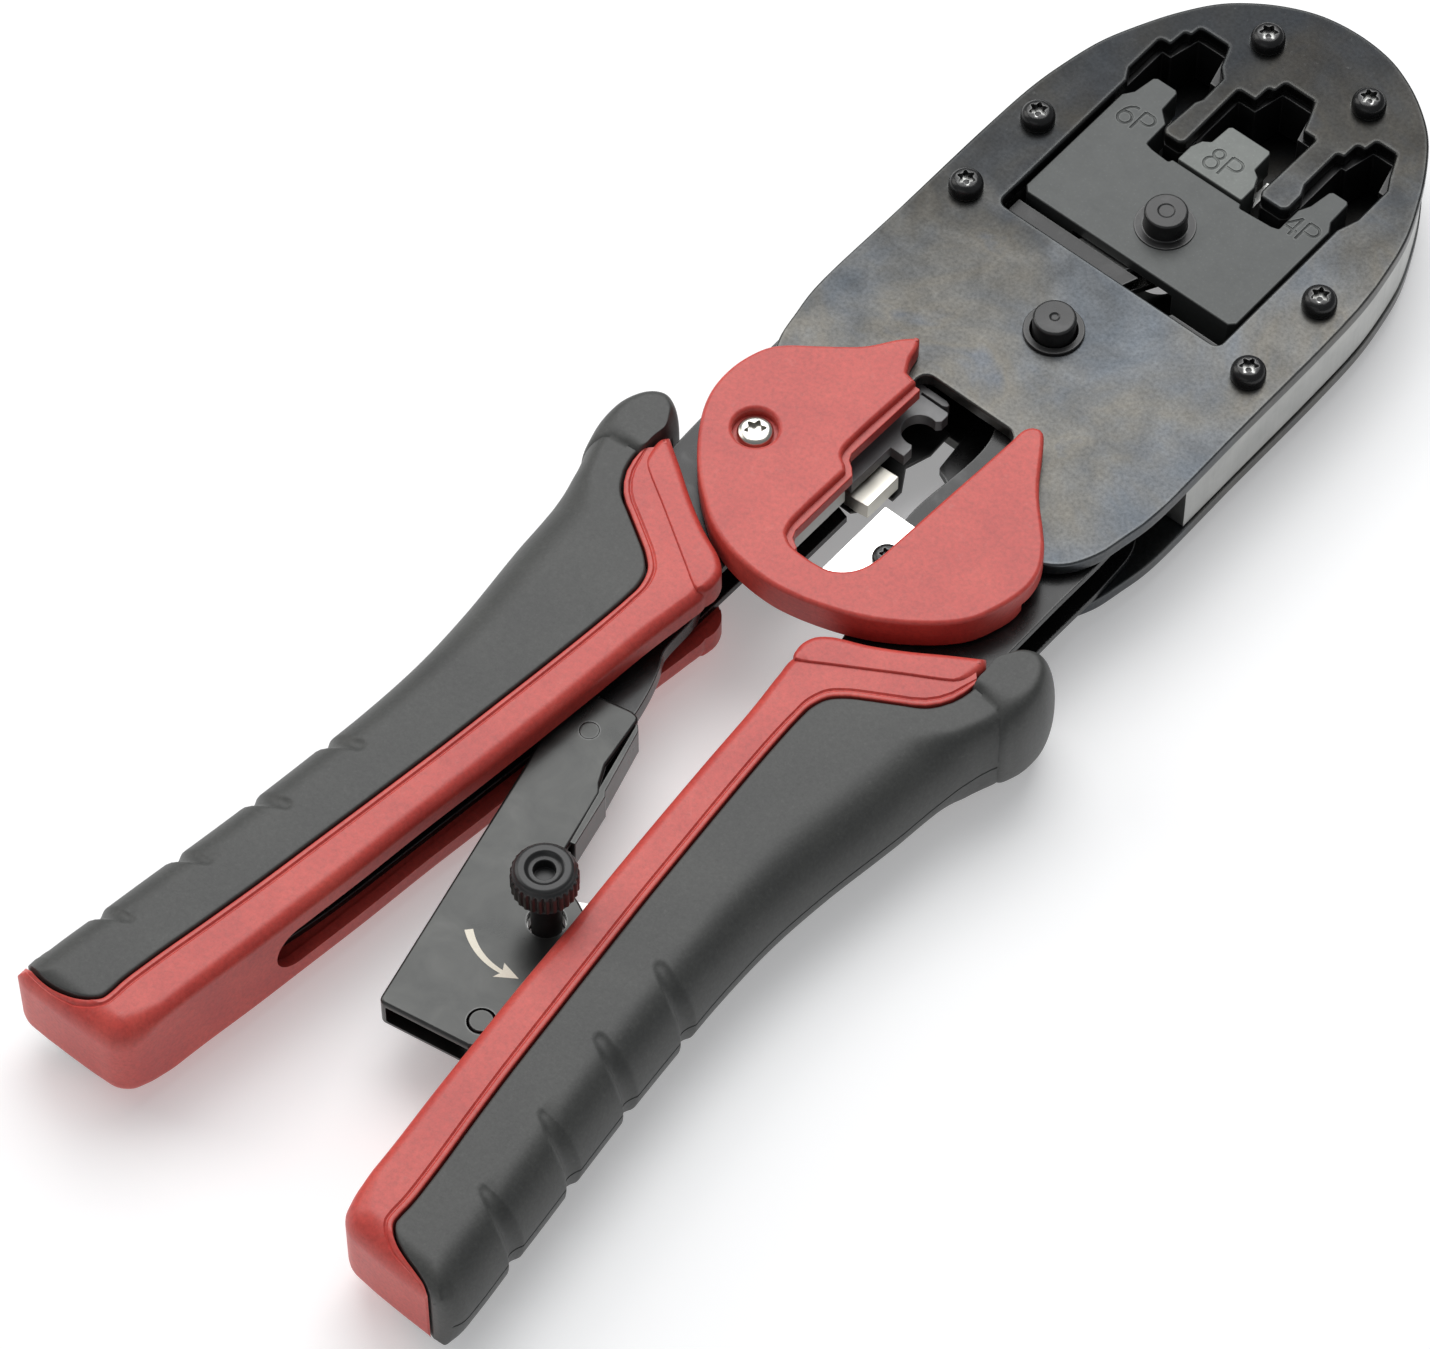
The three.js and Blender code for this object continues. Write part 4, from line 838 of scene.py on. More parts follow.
def pan_screw(name, x, y, z, rad, h, shank, length, turn, recess=0.56, deep=0.95, back=False):
    top = [(0, z - length), (shank, z - length, 0.25), (shank, z), (rad, z, 0.06), (rad, z + h * 0.42, 0.25), (rad * 0.93, z + h * 0.72, 0.4), (rad * 0.72, z + h * 0.94, 0.5), (rad * 0.40, z + h, 0.3), (0, z + h)]
    o = lathe(name, x, y, rolled(top, 5), 64)
    cut = plate("cut", star_points(x, y, rad * recess, turn), z + h - deep, z + h + 1, 0, 0)
    boolean(o, cut)
    tidy(o)
    if back:
        co = np.empty(len(o.data.vertices) * 3)
        o.data.vertices.foreach_get("co", co)
        co = co.reshape(-1, 3)
        co[:, 2] = 2 * SHIFT[2] * MM - co[:, 2]
        o.data.vertices.foreach_set("co", co.ravel())
        o.data.flip_normals()
        o.data.update()
    return o


for i, (x, y) in enumerate(SCREWS):
    o = pan_screw(f"head_screw_fine_{i + 1}", x, y, 6.05, 2.25, 2.1, 1.6, 11.9, 0.35 + i * 0.71)
    put(o, "frame", "black_oxide", SCREW, f"head_screw_{i + 1}", angle=40)
    # painted highlight: a bright steel disc at the floor of each screw's recess stands in for the glint in it
    glint_disc = lathe(f"head_screw_painted_glint_{i + 1}", x, y, [(0, 7.12), (1.1, 7.12), (1.1, 7.22), (0.45, 7.22), (0.3, 7.12 + 0.03), (0, 7.14)], 36)
    put(glint_disc, "frame", "black_oxide", M["spacer_steel"])
o = pan_screw("guard_screw_fine", -17.25, -37, 7.65, 2.3, 1.0, 1.25, 7.4, 0.2, 0.62, 0.7)
put(o, "frame", "bright_steel", STAR, "guard_screw_front", angle=40)
o = pan_screw("blade_screw_fine", 5.8, -39.3, 4.8, 1.9, 1.05, 0.95, 2.4, 0.5, 0.55, 0.6)
put(o, "lever", "bright_steel", SCREW, "blade_screw", angle=40)

# ------------------------------------------------------------------ toggle, lever and arms
for name, node, z0, z1 in (("toggle_front_fine", "toggle_link_front", 1.9, 3.0), ("toggle_back_fine", "toggle_link_back", -3.0, -1.9)):
    o = plate(name, capsule(CRANK, SLIDER_PIN, 3.3), z0, z1, 0.12, 0.12, [circle(*CRANK, 2.0, 40), circle(*SLIDER_PIN, 2.1, 40)])
    put(o, "link", "bright_steel", M["bright_steel"], node)
lever_outline = [(-7.4, 1.2), (-5.6, 4.9), (-1.8, 7.2), (2.6, 7.0), (9, 3.5), (15.4, -3.5), (17.5, -8.0), (21.8, -10.5), (24.6, -14.2), (25.3, -20), (25.3, -31), (25.3, -42), (24.8, -50), (22.4, -76), (22.1, -96), (22.6, -108), (23.8, -118), (24.8, -134),
                 (19.8, -136), (16.0, -122), (13.0, -98), (10.6, -76), (9.5, -56), (6.8, -44), (3.3, -33), (3.3, -16), (-3.6, -6.8)]
for name, node, z0, z1 in (("lever_front_fine", "lever_plate_front", ARM_IN, CORE), ("lever_back_fine", "lever_plate_back", -CORE, -ARM_IN)):
    outline = round_at(smooth(lever_outline, 1.2, 38), [(3.3, -33, 0.4), (3.3, -16, 1.5), (19.8, -136, 1.0), (24.8, -134, 1.0)])
    holes = [circle(0, 0, PIVOT_R + 0.3, 40)] + [circle(x, y, 1.8, 28) for x, y in ((13, -18), (20.4, -110), (20.0, -100), (21.5, -132))]
    if z0 > 0:
        holes.append(circle(5.8, -39.3, 1.25, 28))
        o = plate(name, outline, z0, z1, 0.14, 0.1, holes)
        put(o, "lever", "black_oxide", ARM, node)
    else:
        o = plate(name, outline, z0, z1, 0.1, 0.14, holes)
        web = plate("web", fillet([(3.8, -23.4), (1.6, -21.8), (-1.2, -20.6), (-2.2, -12), (-2.0, -8), (6, -8), (6, -22)], 0.5), z0, z1, 0)
        boolean(o, web, "UNION")
        tidy(o)
        put(o, "lever", "black_oxide", ARM, node)
arm_outline = [(-9.1, -9.0), (-17.6, -8.0), (-25.6, -8.4), (-26.2, -18), (-25.5, -42), (-24.8, -50), (-22.4, -76), (-22.1, -96), (-22.6, -108), (-23.8, -118), (-24.8, -134),
               (-19.8, -136), (-16.0, -122), (-13.0, -98), (-10.6, -76), (-9.3, -62), (-9.0, -52)]
for name, node, z0, z1 in (("arm_front_fine", "fixed_arm_front", ARM_IN, CORE), ("arm_back_fine", "fixed_arm_back", -CORE, -ARM_IN)):
    holes = [circle(x, y, 1.8, 28) for x, y in [*ARM_RIVETS, (-21.5, -132)]] + [circle(*RATCHET_PIVOT, 2.3, 32), circle(-17.25, -37, 1.6, 28)]
    o = plate(name, smooth(arm_outline, 1.2, 38), z0, z1, 0.12, 0.12, holes)
    if z0 < 0:
        boolean(o, plate("anvil", [(-10.5, -32.0), (-5.2, -33.6), (-5.2, -47.4), (-10.5, -49.5)], z0, z1, 0.0), "UNION")
        tidy(o)
    put(o, "frame", "black_oxide", ARM, node)

o = lathe("bar_rivet_fine", -6.4, -80.4, rolled([(0, -2.35), (1.2, -2.35, 0.1), (1.2, 2.33, 0.05), (1.05, 2.35, 0.1), (0, 2.35)]), 40)
put(o, "ratchet", "black_oxide", SHEET, "ratchet_bar_rivet")

# stripper, cutter
shear = fillet([(0.6, -33.4), (9.8, -33.4), (10.2, -44.9), (1.0, -46.6), (0.6, -45.6)], 0.15)
o = plate("shear_blade_ground", shear, 3.95, 4.75, 0.07, 0.05, [circle(5.8, -39.3, 1.25, 32)])
put(o, "lever", "bright_steel", M["bright_steel"], "shear_blade")
arc = [(-3.9 + 2.35 * math.cos(math.radians(75 + 210 * i / 28)), -21.3 + 2.35 * math.sin(math.radians(75 + 210 * i / 28))) for i in range(29)]
guide = [(-8.6, -15.6), (-4.2, -15.6), (-3.6, -15.9), (-3.6, -16.3), (-4.2, -16.6), (-7.4, -16.6), (-7.4, -16.9), (-3.0, -16.9), (-2.7, -17.3), (-2.7, -18.5), (-3.2, -19.0), *arc, (-2.9, -24.1), (-2.9, -25.6), (-5.0, -25.6), (-5.1, -33.0), (-8.6, -33.0)]
o = plate("stripper_guide_fine", guide, 1.9, CORE, 0.12, 0.05)
put(o, "frame", "stripper_grey", M["stripper_grey"], "stripper_guide")

# ------------------------------------------------------------------ ratchet arm and release
sheet = [(-12.6, -75.9, 1.2), (-8.9, -75.9), (-4.4, -74.9), (-3.0, -75.1, 1), (-1.7, -82.8), (-0.5, -85.2), (0.4, -86.2), (2.4, -94.2), (3.2, -97.6), (8.5, -99.3), (13.6, -101.6), (14.6, -120.9, 2), (11.7, -122.6), (-0.35, -124.8, 0.9), (-8.9, -89.6)]
o = plate("channel_folded", fillet(sheet, 0.25, 5), -SHEET_OUT, SHEET_OUT, 0.42, 0.42, seg=4)
boolean(o, plate("cut", [(-12.2, -60), (-11.6, -76.3), (-8.0, -89.5), (0.6, -124.4), (0.9, -130), (30, -130), (30, -60)], -SHEET_IN, SHEET_IN, 0.25))
lip = plate("lip", fillet([(-2.9, -75.6), (-1.9, -76.6), (0.7, -85.6), (1.2, -86.2), (2.95, -93.6), (2.2, -93.8), (0.3, -86.6), (-0.2, -85.7), (-2.6, -76.6)], 0.12), -SHEET_OUT + 0.02, SHEET_OUT - 0.1, 0.12)
boolean(o, lip, "UNION")
boolean(o, plate("cut", circle(*KNOB, 2.4, 48), -9, 9, 0))
boolean(o, plate("cut", circle(-6.4, -80.4, 1.25, 40), -9, 9, 0))
boolean(o, plate("cut", circle(10.7, -119.0, 1.8, 32), -9, 9, 0))
tidy(o)
put(o, "ratchet", "black_oxide", SHEET, "ratchet_channel")
bar = [(-16.2, -58.6), (-14.3, -56.2), (-12, -55.5), (-9.8, -56.1), (-8.2, -58.4), (-7.5, -65.5), (-6.4, -67.5), (-5.35, -70.2), (-4.55, -73.0), (-4.0, -75.7), (-3.3, -82.4), (-6.6, -84.2), (-9.2, -81.5), (-11.4, -75), (-14.6, -66)]
o = plate("bar_fine", smooth(bar, 0.8, 50), -1.25, 1.25, 0.15, 0.15, [circle(*RATCHET_PIVOT, 2.3, 32), circle(-6.4, -80.4, 1.5, 28)])
put(o, "ratchet", "black_oxide", ARM, "ratchet_bar")
o = lathe("channel_rivet_fine", 10.7, -119.0, rolled([(0, -2.3), (1.5, -2.3, 0.1), (1.5, 2.38, 0.02), (1.42, 2.5, 0.1), (0, 2.52)]), 48)
put(o, "ratchet", "black_oxide", SHEET, "channel_rivet")

knob = rolled([(0, -2.3), (1.85, -2.3, 0.1), (1.85, 9.7, 0.15), (3.0, 9.7, 0.2), (4.1, 10.3, 0.25), (4.1, 11.2), (4.1, 12.2), (4.1, 13.2, 0.35), (3.6, 13.75, 0.3), (3.45, 14.05, 0.15), (3.1, 14.2, 0.15), (2.35, 14.2, 0.15), (1.95, 13.75, 0.2), (1.35, 13.7, 0.12), (1.3, 12.2), (0, 12.2)])
o = lathe("knob_knurled", *KNOB, knob, 224, knurl=(10.2, 13.4, 28, 0.34, 3.4))
put(o, "release", "black_oxide", oxide("knob_black", 0.022, 0.34, 0.25, 0.25), "release_knob", angle=50)

a0, a1 = math.radians(-132.0), math.radians(-86.0)
outer_arc, inner_arc = [], []
for i in range(25):
    t = i / 24
    ang = a0 + (a1 - a0) * t
    rad = 9.2 - 0.5 * t
    half = 0.52 - 0.26 * t
    outer_arc.append((KNOB[0] + (rad + half) * math.cos(ang), KNOB[1] + (rad + half) * math.sin(ang)))
    inner_arc.append((KNOB[0] + (rad - half) * math.cos(ang), KNOB[1] + (rad - half) * math.sin(ang)))
ang, rad = a1, 8.7
tip_ang = math.radians(-71.0)
head_pts = [(KNOB[0] + (rad - 1.15) * math.cos(ang - 0.06), KNOB[1] + (rad - 1.15) * math.sin(ang - 0.06)),
            (KNOB[0] + (rad - 0.15) * math.cos(tip_ang), KNOB[1] + (rad - 0.15) * math.sin(tip_ang)),
            (KNOB[0] + (rad + 1.15) * math.cos(ang - 0.04), KNOB[1] + (rad + 1.15) * math.sin(ang - 0.04))]
o = plate("arrow_print", inner_arc + head_pts + outer_arc[::-1], 2.31, 2.375, 0.0, 0.0)
put(o, "ratchet", "black_oxide", INK)

# ------------------------------------------------------------------ finger guards
guard_outline = [(-10.75, -13.25), (-12.5, -15), (-15, -18.5), (-17.5, -20.75), (-20, -22.75), (-22.5, -24.75), (-24, -26.5), (-25, -29), (-25.5, -32), (-25.25, -35.5), (-24.25, -38.5), (-22.5, -41.5), (-20, -44.75), (-17.5, -47.25), (-15, -49.25),
                 (-12.5, -51), (-10, -52.15), (-7.5, -52.9), (-5, -53.3), (-2.5, -53.45), (0, -53.35), (3, -52.8), (6, -51.95), (9, -50.85), (12.5, -49.1), (16, -46.7), (19, -44.1), (21, -41.6), (22.25, -38.5), (23, -35.25), (23.1, -33), (22.5, -30.5), (21, -28), (19, -25.75),
                 (16, -22.75), (14, -20.25), (12.5, -18), (11, -15.75), (10, -14.6), (9.4, -14.4), (8.5, -14.75), (7.85, -15.75), (7.75, -18), (7.5, -23), (7.1, -30.5), (6.75, -38), (6.4, -43), (5.5, -45.25), (4, -46.75), (2.5, -47.4), (-2.75, -47.4), (-4.25, -46.5),
                 (-4.75, -45), (-4.75, -34.7), (-5.4, -34.0), (-6.4, -33.4), (-6.95, -32.4), (-6.75, -18.75), (-8.5, -18.4), (-9.5, -16.5), (-10, -14.5)]
lip_region = [(-5.9, -18.9), (-9.4, -18.9), (-9.4, -33.8), (-6.8, -35), (-6.8, -46), (-4.25, -48.2), (-2.0, -48.4), (-2.2, -46.9), (-3.5, -46.1), (-3.95, -45), (-3.95, -34.3), (-4.8, -33.4), (-5.7, -32.8), (-6.15, -31.9)]
skirt_inner = [(-22.5, -31.6), (-22.7, -33.5), (-22.2, -36.5), (-20.6, -39.9), (-18.0, -43.2), (-15.6, -45.5), (-13.3, -47.2), (-10.9, -48.8), (-8.6, -49.7), (-4.9, -50.5), (-0.5, -50.7), (4.7, -49.8), (8.6, -48.6), (12.4, -46.4), (15.6, -43.8), (18.4, -40.9), (19.9, -37.6), (20.3, -34.3)]
skirt_outer = [(-24.95, -30.6), (-25.5, -32), (-25.25, -35.5), (-24.25, -38.5), (-22.5, -41.5), (-20, -44.75), (-17.5, -47.25), (-15, -49.25),
               (-12.5, -51), (-10, -52.15), (-7.5, -52.9), (-5, -53.3), (-2.5, -53.45), (0, -53.35), (3, -52.8), (6, -51.95), (9, -50.85), (12.5, -49.1), (16, -46.7), (19, -44.1), (21, -41.6), (22.25, -38.5), (22.85, -35.9), (22.75, -34.3)]


def make_guard(name, sign):
    outline = round_at(smooth(guard_outline, 0.55, 36), [(-10.75, -13.25, 0.6), (-6.75, -18.75, 0.5), (-4.75, -45, 1.0), (-10, -14.5, 0.4)])
    g = plate(name, outline, 6.3, GUARD_TOP, 0.62, 0.1, [circle(-17.25, -37, 2.85, 56)], 5)
    ring = inset(ccw(smooth(skirt_outer, 0.6, 60, False) + smooth(skirt_inner, 0.8, 60, False)[::-1]), 0.0)
    skirt = plate("skirt", [tuple(p) for p in ring], 4.1, 6.9, 0.0, 0.25, seg=3)
    # the skirt's wall stands 0.02 mm behind the rim, so the two join cleanly
    c = np.array([v.co for v in skirt.data.vertices]) / MM - SHIFT
    k = np.hypot(c[:, 0], c[:, 1] + 33)
    c[:, 0] *= 1 - 0.02 / k
    c[:, 1] = (c[:, 1] + 33) * (1 - 0.02 / k) - 33
    skirt.data.vertices.foreach_set("co", ((c + SHIFT) * MM).ravel())
    boolean(g, skirt, "UNION")
    boolean(g, plate("lip", fillet(lip_region, 0.25), 6.32, 8.05, 0.14, 0.05), "UNION")
    boss = plate("boss", circle(-17.25, -37, 3.4, 56), 4.1, 7.6, 0.0, 0.1, [circle(-17.25, -37, 1.55, 36)])
    boolean(g, boss, "UNION")
    tidy(g)
    if sign < 0:
        co = np.empty(len(g.data.vertices) * 3)
        g.data.vertices.foreach_get("co", co)
        co = co.reshape(-1, 3)
        co[:, 2] = 2 * SHIFT[2] * MM - co[:, 2]
        g.data.vertices.foreach_set("co", co.ravel())
        g.data.flip_normals()
        g.data.update()
    return g


put(make_guard("guard_moulded_front", 1), "frame", "red_plastic", M["red_plastic"], "guard_front")

# ------------------------------------------------------------------ grips
core_rows = [((25.4, -46.3), (26.45, -47.4)), ((24.0, -47.2), (26.2, -49.8)), ((22.0, -48.4), (25.4, -52.0)), ((19.8, -49.8), (23.75, -54.1)), ((17.2, -51.4), (21.25, -55.7)), ((14.3, -53.2), (18.25, -57.5)),
             ((11.4, -55.0), (15.9, -59.0)), ((8.9, -56.3), (14.25, -60.6)), ((7.05, -58.3), (13.4, -62.9)), ((7.2, -61.6), (13.35, -65.6)), ((7.75, -66), (13.5, -68.5)), ((8.6, -76), (14.25, -77.6)), ((9.5, -86), (15.25, -87.6)),
             ((10.5, -96), (16.25, -97.1)), ((11.4, -104), (17.2, -105)), ((12.4, -114.5), (18.45, -115)), ((13.5, -124.1), (19.65, -124.5)), ((14.3, -131), (20.65, -131.3)), ((15.5, -140), (22.0, -140.0)), ((16.05, -145.0), (22.5, -144.3)),
             ((16.35, -147.4), (22.55, -146.2)), ((17.0, -149.3), (22.75, -147.3)), ((18.5, -150.5), (23.5, -148.2)), ((21.2, -150.9), (24.8, -149.0)), ((24.5, -151.05), (26.6, -149.6)), ((27.5, -151.1), (28.8, -150.1)), ((29.8, -151.1), (30.3, -150.5)), ((30.95, -151.1), (31.15, -150.95))]
rubber_rows = [((26.75, -45.0), (33.6, -45.0)), ((26.75, -47.4), (33.9, -47.6)), ((26.5, -49.9), (33.5, -50.6)), ((25.7, -52.1), (32.6, -52.9)), ((24.0, -54.35), (32.1, -54.9)), ((21.45, -55.95), (31.75, -56.5)), ((18.45, -57.75), (31.5, -58.2)),
               ((16.1, -59.25), (31.3, -59.9)), ((14.45, -60.85), (31.1, -61.7)), ((13.7, -62.95), (30.9, -63.9)), ((13.65, -65.6), (30.7, -66.2)), ((13.8, -68.5), (30.4, -68.6)), ((14.55, -77.6), (29.2, -77.9)), ((15.55, -87.6), (28.5, -87.4)),
               ((16.55, -97.1), (28.75, -97.3)), ((17.5, -105), (29.4, -105)), ((18.75, -115), (30.4, -115)), ((19.95, -124.5), (31.6, -124.7)), ((20.95, -131.3), (32.5, -131.3)), ((22.3, -140.0), (33.6, -140.0)), ((22.8, -144.3), (34.1, -143.6)),
               ((22.85, -146.1), (34.35, -145.6)), ((23.0, -147.1), (34.5, -147.0)), ((23.7, -147.95), (34.6, -148.2)), ((24.95, -148.7), (34.5, -149.2)), ((26.7, -149.3), (34.2, -149.9)), ((28.9, -149.8), (33.7, -150.5)), ((30.5, -150.3), (32.9, -150.85)), ((31.4, -150.75), (32.0, -151.05))]
# the fixed grip's hard end wraps its outer corner
core_rows_left = core_rows[:-3] + [((27.5, -151.1), (28.8, -149.95)), ((30.5, -151.1), (31.2, -149.85)), ((32.8, -150.9), (32.8, -149.5)), ((34.0, -150.2), (33.7, -149.05)), ((34.55, -149.0), (34.25, -148.55))]
rubber_rows_left = rubber_rows[:-7] + [((23.0, -147.1), (34.5, -146.3)), ((23.7, -147.95), (34.5, -146.95)), ((24.95, -148.7), (34.5, -147.4)), ((26.7, -149.2), (34.45, -147.75)), ((28.9, -149.5), (34.4, -148.0)), ((31.2, -149.4), (34.35, -148.15)), ((33.0, -148.9), (34.25, -148.3))]
END_EDGE = np.array([(16.0, -143.0), (16.35, -147.4), (17.0, -149.3), (18.5, -150.5), (21.2, -150.9), (24.5, -151.05), (31.0, -151.1), (33.0, -150.9), (34.2, -150.0), (34.7, -148.4)])
FINGERS = [((23.7, -102.1), (30.9, -104.2)), ((24.7, -113.9), (32.0, -115.8)), ((26.5, -125.6), (33.6, -127.4)), ((28.0, -137.4), (35.2, -139.1))]


def line_distance(p, line):
    """Distance of points to an open polyline, in the plane."""
    a, c = line[:-1], line[1:]
    d = c - a
    t = np.clip(np.einsum("ijk,jk->ij", p[:, None, :] - a[None], d) / np.sum(d * d, 1)[None], 0, 1)
    near_at = a[None] + d[None] * t[..., None]
    return np.sqrt(((p[:, None, :] - near_at) ** 2).sum(-1)).min(1)


def fall(d, rad):
    """Drop of a rolled edge at distance d from the edge."""
    x = np.clip(rad - d, 0, rad)
    return rad - np.sqrt(np.maximum(rad * rad - x * x, 0))


def stations(knots, dense, base=1.0):
    """Places along the rows, closer together near the given y."""
    mid = np.array([[(a[0] + c[0]) / 2, (a[1] + c[1]) / 2] for a, c in knots])
    t = np.concatenate([[0], np.cumsum(np.hypot(*np.diff(mid, axis=0).T))])
    out, s = [0.0], 0.0
    ys = mid[:, 1]
    while s < t[-1]:
        y = np.interp(s, t, ys)
        step = base
        for yy, half, fine in dense:
            if abs(y - yy) < half:
                step = min(step, fine)
        s += step
        out.append(min(s, t[-1]))
    return t, np.array(out)


def loft(name, ring_rows):
    """Closed skin over rows of equally long closed rings."""
    n, k = len(ring_rows), len(ring_rows[0])
    verts = np.vstack(ring_rows)
    faces = []
    for i in range(n - 1):
        for j in range(k):
            l = (j + 1) % k
            faces.append((i * k + j, i * k + l, (i + 1) * k + l, (i + 1) * k + j))
    faces.append(list(range(k))[::-1])
    faces.append([(n - 1) * k + j for j in range(k)])
    return new_object(name, verts, faces, weld=1e-6)


def core_mesh(name, side):
    knots = core_rows if side > 0 else core_rows_left
    t, at = stations(knots, [(-60, 5, 0.5), (-147, 6, 0.3)], 1.6)
    rows = hermite(t, np.array([[*a, *c] for a, c in knots]), at)
    edge = rows[:, :2]
    rings = []
    for row in rows:
        a, m = row[:2], row[2:]
        w = np.hypot(*(m - a))
        end = np.clip((-143 - a[1]) / 7.0, 0, 1)
        rad = 1.75 + 1.75 * end * end * (3 - 2 * end)
        th = np.linspace(0, math.pi / 2, 9)
        du = np.minimum(rad * (1 - np.cos(th)), w * 0.6 * (1 - np.cos(th)))
        g = np.array([1.12, 0.98, 0.88, 0.80, 0.70, 0.56])
        gd = np.array([0, -0.13, -0.22, -0.22, -0.13, 0])
        scale = min(1.0, w / 3.0)
        back_d = np.concatenate([g, [0.30, 0.10, 0.03, 0.0]]) * scale
        back_z = np.concatenate([gd * scale, [0.0, -0.035, -0.10, -0.30]])
        flat = np.linspace(du[-1], w - back_d[0], 5)[1:-1]
        us = np.concatenate([du, flat, w - back_d])
        xy = a + (m - a) * (us / w)[:, None]
        d = np.minimum(line_distance(xy, edge), us)
        z = GRIP - fall(np.where(us < rad * 1.5, np.maximum(d, 0), rad + 1), rad)
        if row[1] > -57.6 and row[0] > 7:
            z = np.full(len(us), GRIP)
            z[0] = GRIP - 0.5
        dz = np.zeros(len(us))
        dz[-len(back_z):] = back_z
        z = z + dz
        # near the outer corner the hard end falls away with the dome of the rubber
        e = np.clip(1 - (34.65 - xy[:, 0]) / 5.5, 0, 1)
        z = np.minimum(z, GRIP * (1 - e**2.25) ** (1 / 1.95) + dz)
        top = np.column_stack([xy, np.maximum(z, 0.4)])
        wall_a = np.array([[a[0], a[1], 0.0], [a[0], a[1], z[0] * 0.5]])
        wall_m = np.array([[m[0], m[1], z[-1] * 0.5]])
        half = np.vstack([wall_a[1:], top, wall_m])
        low = half[::-1] * (1, 1, -1)
        ring = np.vstack([wall_a[:1], half, np.array([[m[0], m[1], 0.0]]), low])
        ring[:, 0] *= side
        rings.append(ring)
    return loft(name, rings)


def rubber_mesh(name, side):
    knots = rubber_rows if side > 0 else rubber_rows_left
    t, at = stations(knots, [(-58, 6, 0.5), (-147, 6, 0.28)] + [((a[1] + c[1]) / 2 - 0.2, 3.0, 0.24) for a, c in FINGERS], 1.4)
    rows = hermite(t, np.array([[*a, *c] for a, c in knots]), at)
    rings = []
    first = np.array([0.0, 0.02, 0.10, 0.30, 0.6])
    first_z = np.array([-0.42, -0.20, -0.07, 0.0, 0.0])
    nflat, ndome = 16, 26
    for row in rows:
        m, c = row[:2], row[2:]
        w = np.hypot(*(c - m))
        dome = min(7.4, w * 0.50)
        k = min(1.0, w / 2.0)
        flat = np.linspace(first[-1] * k, w - dome, nflat + 1)[1:-1]
        ph = np.linspace(0, math.pi / 2, ndome)
        ph[-1] = math.pi / 2
        p_out, p_up = 2.25, 1.95
        e = np.sin(ph) ** (2 / p_out)
        zd = GRIP * np.cos(ph) ** (2 / p_up)
        zd[-1] = 0.0
        us = np.concatenate([first * k, flat, w - dome * (1 - e)])
        z = np.concatenate([GRIP + first_z, np.full(len(flat), GRIP), zd])
        xy = m + (c - m) * (us / w)[:, None]
        # rolled end
        d = line_distance(xy, END_EDGE)
        cap = GRIP - fall(d, 3.4)
        cap = np.where(d < 3.4, cap, GRIP)
        z = np.minimum(z, cap + np.concatenate([first_z, np.zeros(len(z) - len(first_z))]))
        # the last rows, round the corner, keep to the same dome
        e = np.clip(1 - (34.65 - xy[:, 0]) / 5.5, 0, 1) * np.clip((-141 - xy[:, 1]) / 3, 0, 1)
        z = np.minimum(z, GRIP * np.maximum(1 - e**2.25, 0) ** (1 / 1.95))
        z = np.maximum(z, 0.0)
        rings.append(np.column_stack([xy, z]))
    g = np.array(rings)                    # rows x points x 3
    # outward normals of the upper skin, for the finger grooves
    du = np.gradient(g, axis=1)
    dv = np.gradient(g, axis=0)
    nrm = np.cross(du, dv)
    nrm /= np.maximum(1e-9, np.linalg.norm(nrm, axis=2))[..., None]
    flip = np.where(nrm[..., 2].mean() < 0, -1.0, 1.0)
    nrm *= flip
    nrm[:, -1, 2] = 0
    nrm[:, -1] /= np.maximum(1e-9, np.linalg.norm(nrm[:, -1], axis=1))[:, None]
    depth = np.zeros(g.shape[:2])
    for (x0, y0), (x1, y1) in FINGERS:
        d = np.array([x1 - x0, y1 - y0])
        length = np.hypot(*d)
        d /= length
        rel = g[..., :2] - (x0, y0)
        along = rel @ d
        across = rel @ np.array([-d[1], d[0]]) + 0.35 * np.sin(np.clip(along / length, 0, 1) * math.pi)
        f = np.clip(along / length, 0, 1.15)
        up_w, low_w = 0.95 + 1.25 * f, 0.95 + 0.15 * f
        q = np.where(across > 0, across / up_w, -across / low_w)
        q = np.sqrt(q**2 + np.where(along < 0, (along / 0.95) ** 2, 0))
        prof = np.clip(1 - q**2, 0, 1) ** 1.1
        depth = np.maximum(depth, prof * (0.30 + 0.55 * f))
    g = g - nrm * depth[..., None]
    g[:, -1, 2] = 0.0
    out = []
    for i, row in enumerate(rows):
        top = g[i]
        m = row[:2]
        # fine parting line round the outer middle plane
        edge = top[-1].copy()
        n = nrm[i, -1]
        seam_p = edge.copy()
        if -150.2 < edge[1] < -50:
            seam_p[:2] -= n[:2] * 0.20
        up = edge.copy(); up[2] = 0.16
        ring = np.vstack([np.array([[m[0], m[1], 0.0]]), np.array([[m[0], m[1], top[0, 2] * 0.5]]), top[:-1], up[None], seam_p[None], (up * (1, 1, -1))[None], (top[:-1] * (1, 1, -1))[::-1], np.array([[m[0], m[1], -top[0, 2] * 0.5]])])
        ring[:, 0] *= side
        out.append(ring)
    return loft(name, out)


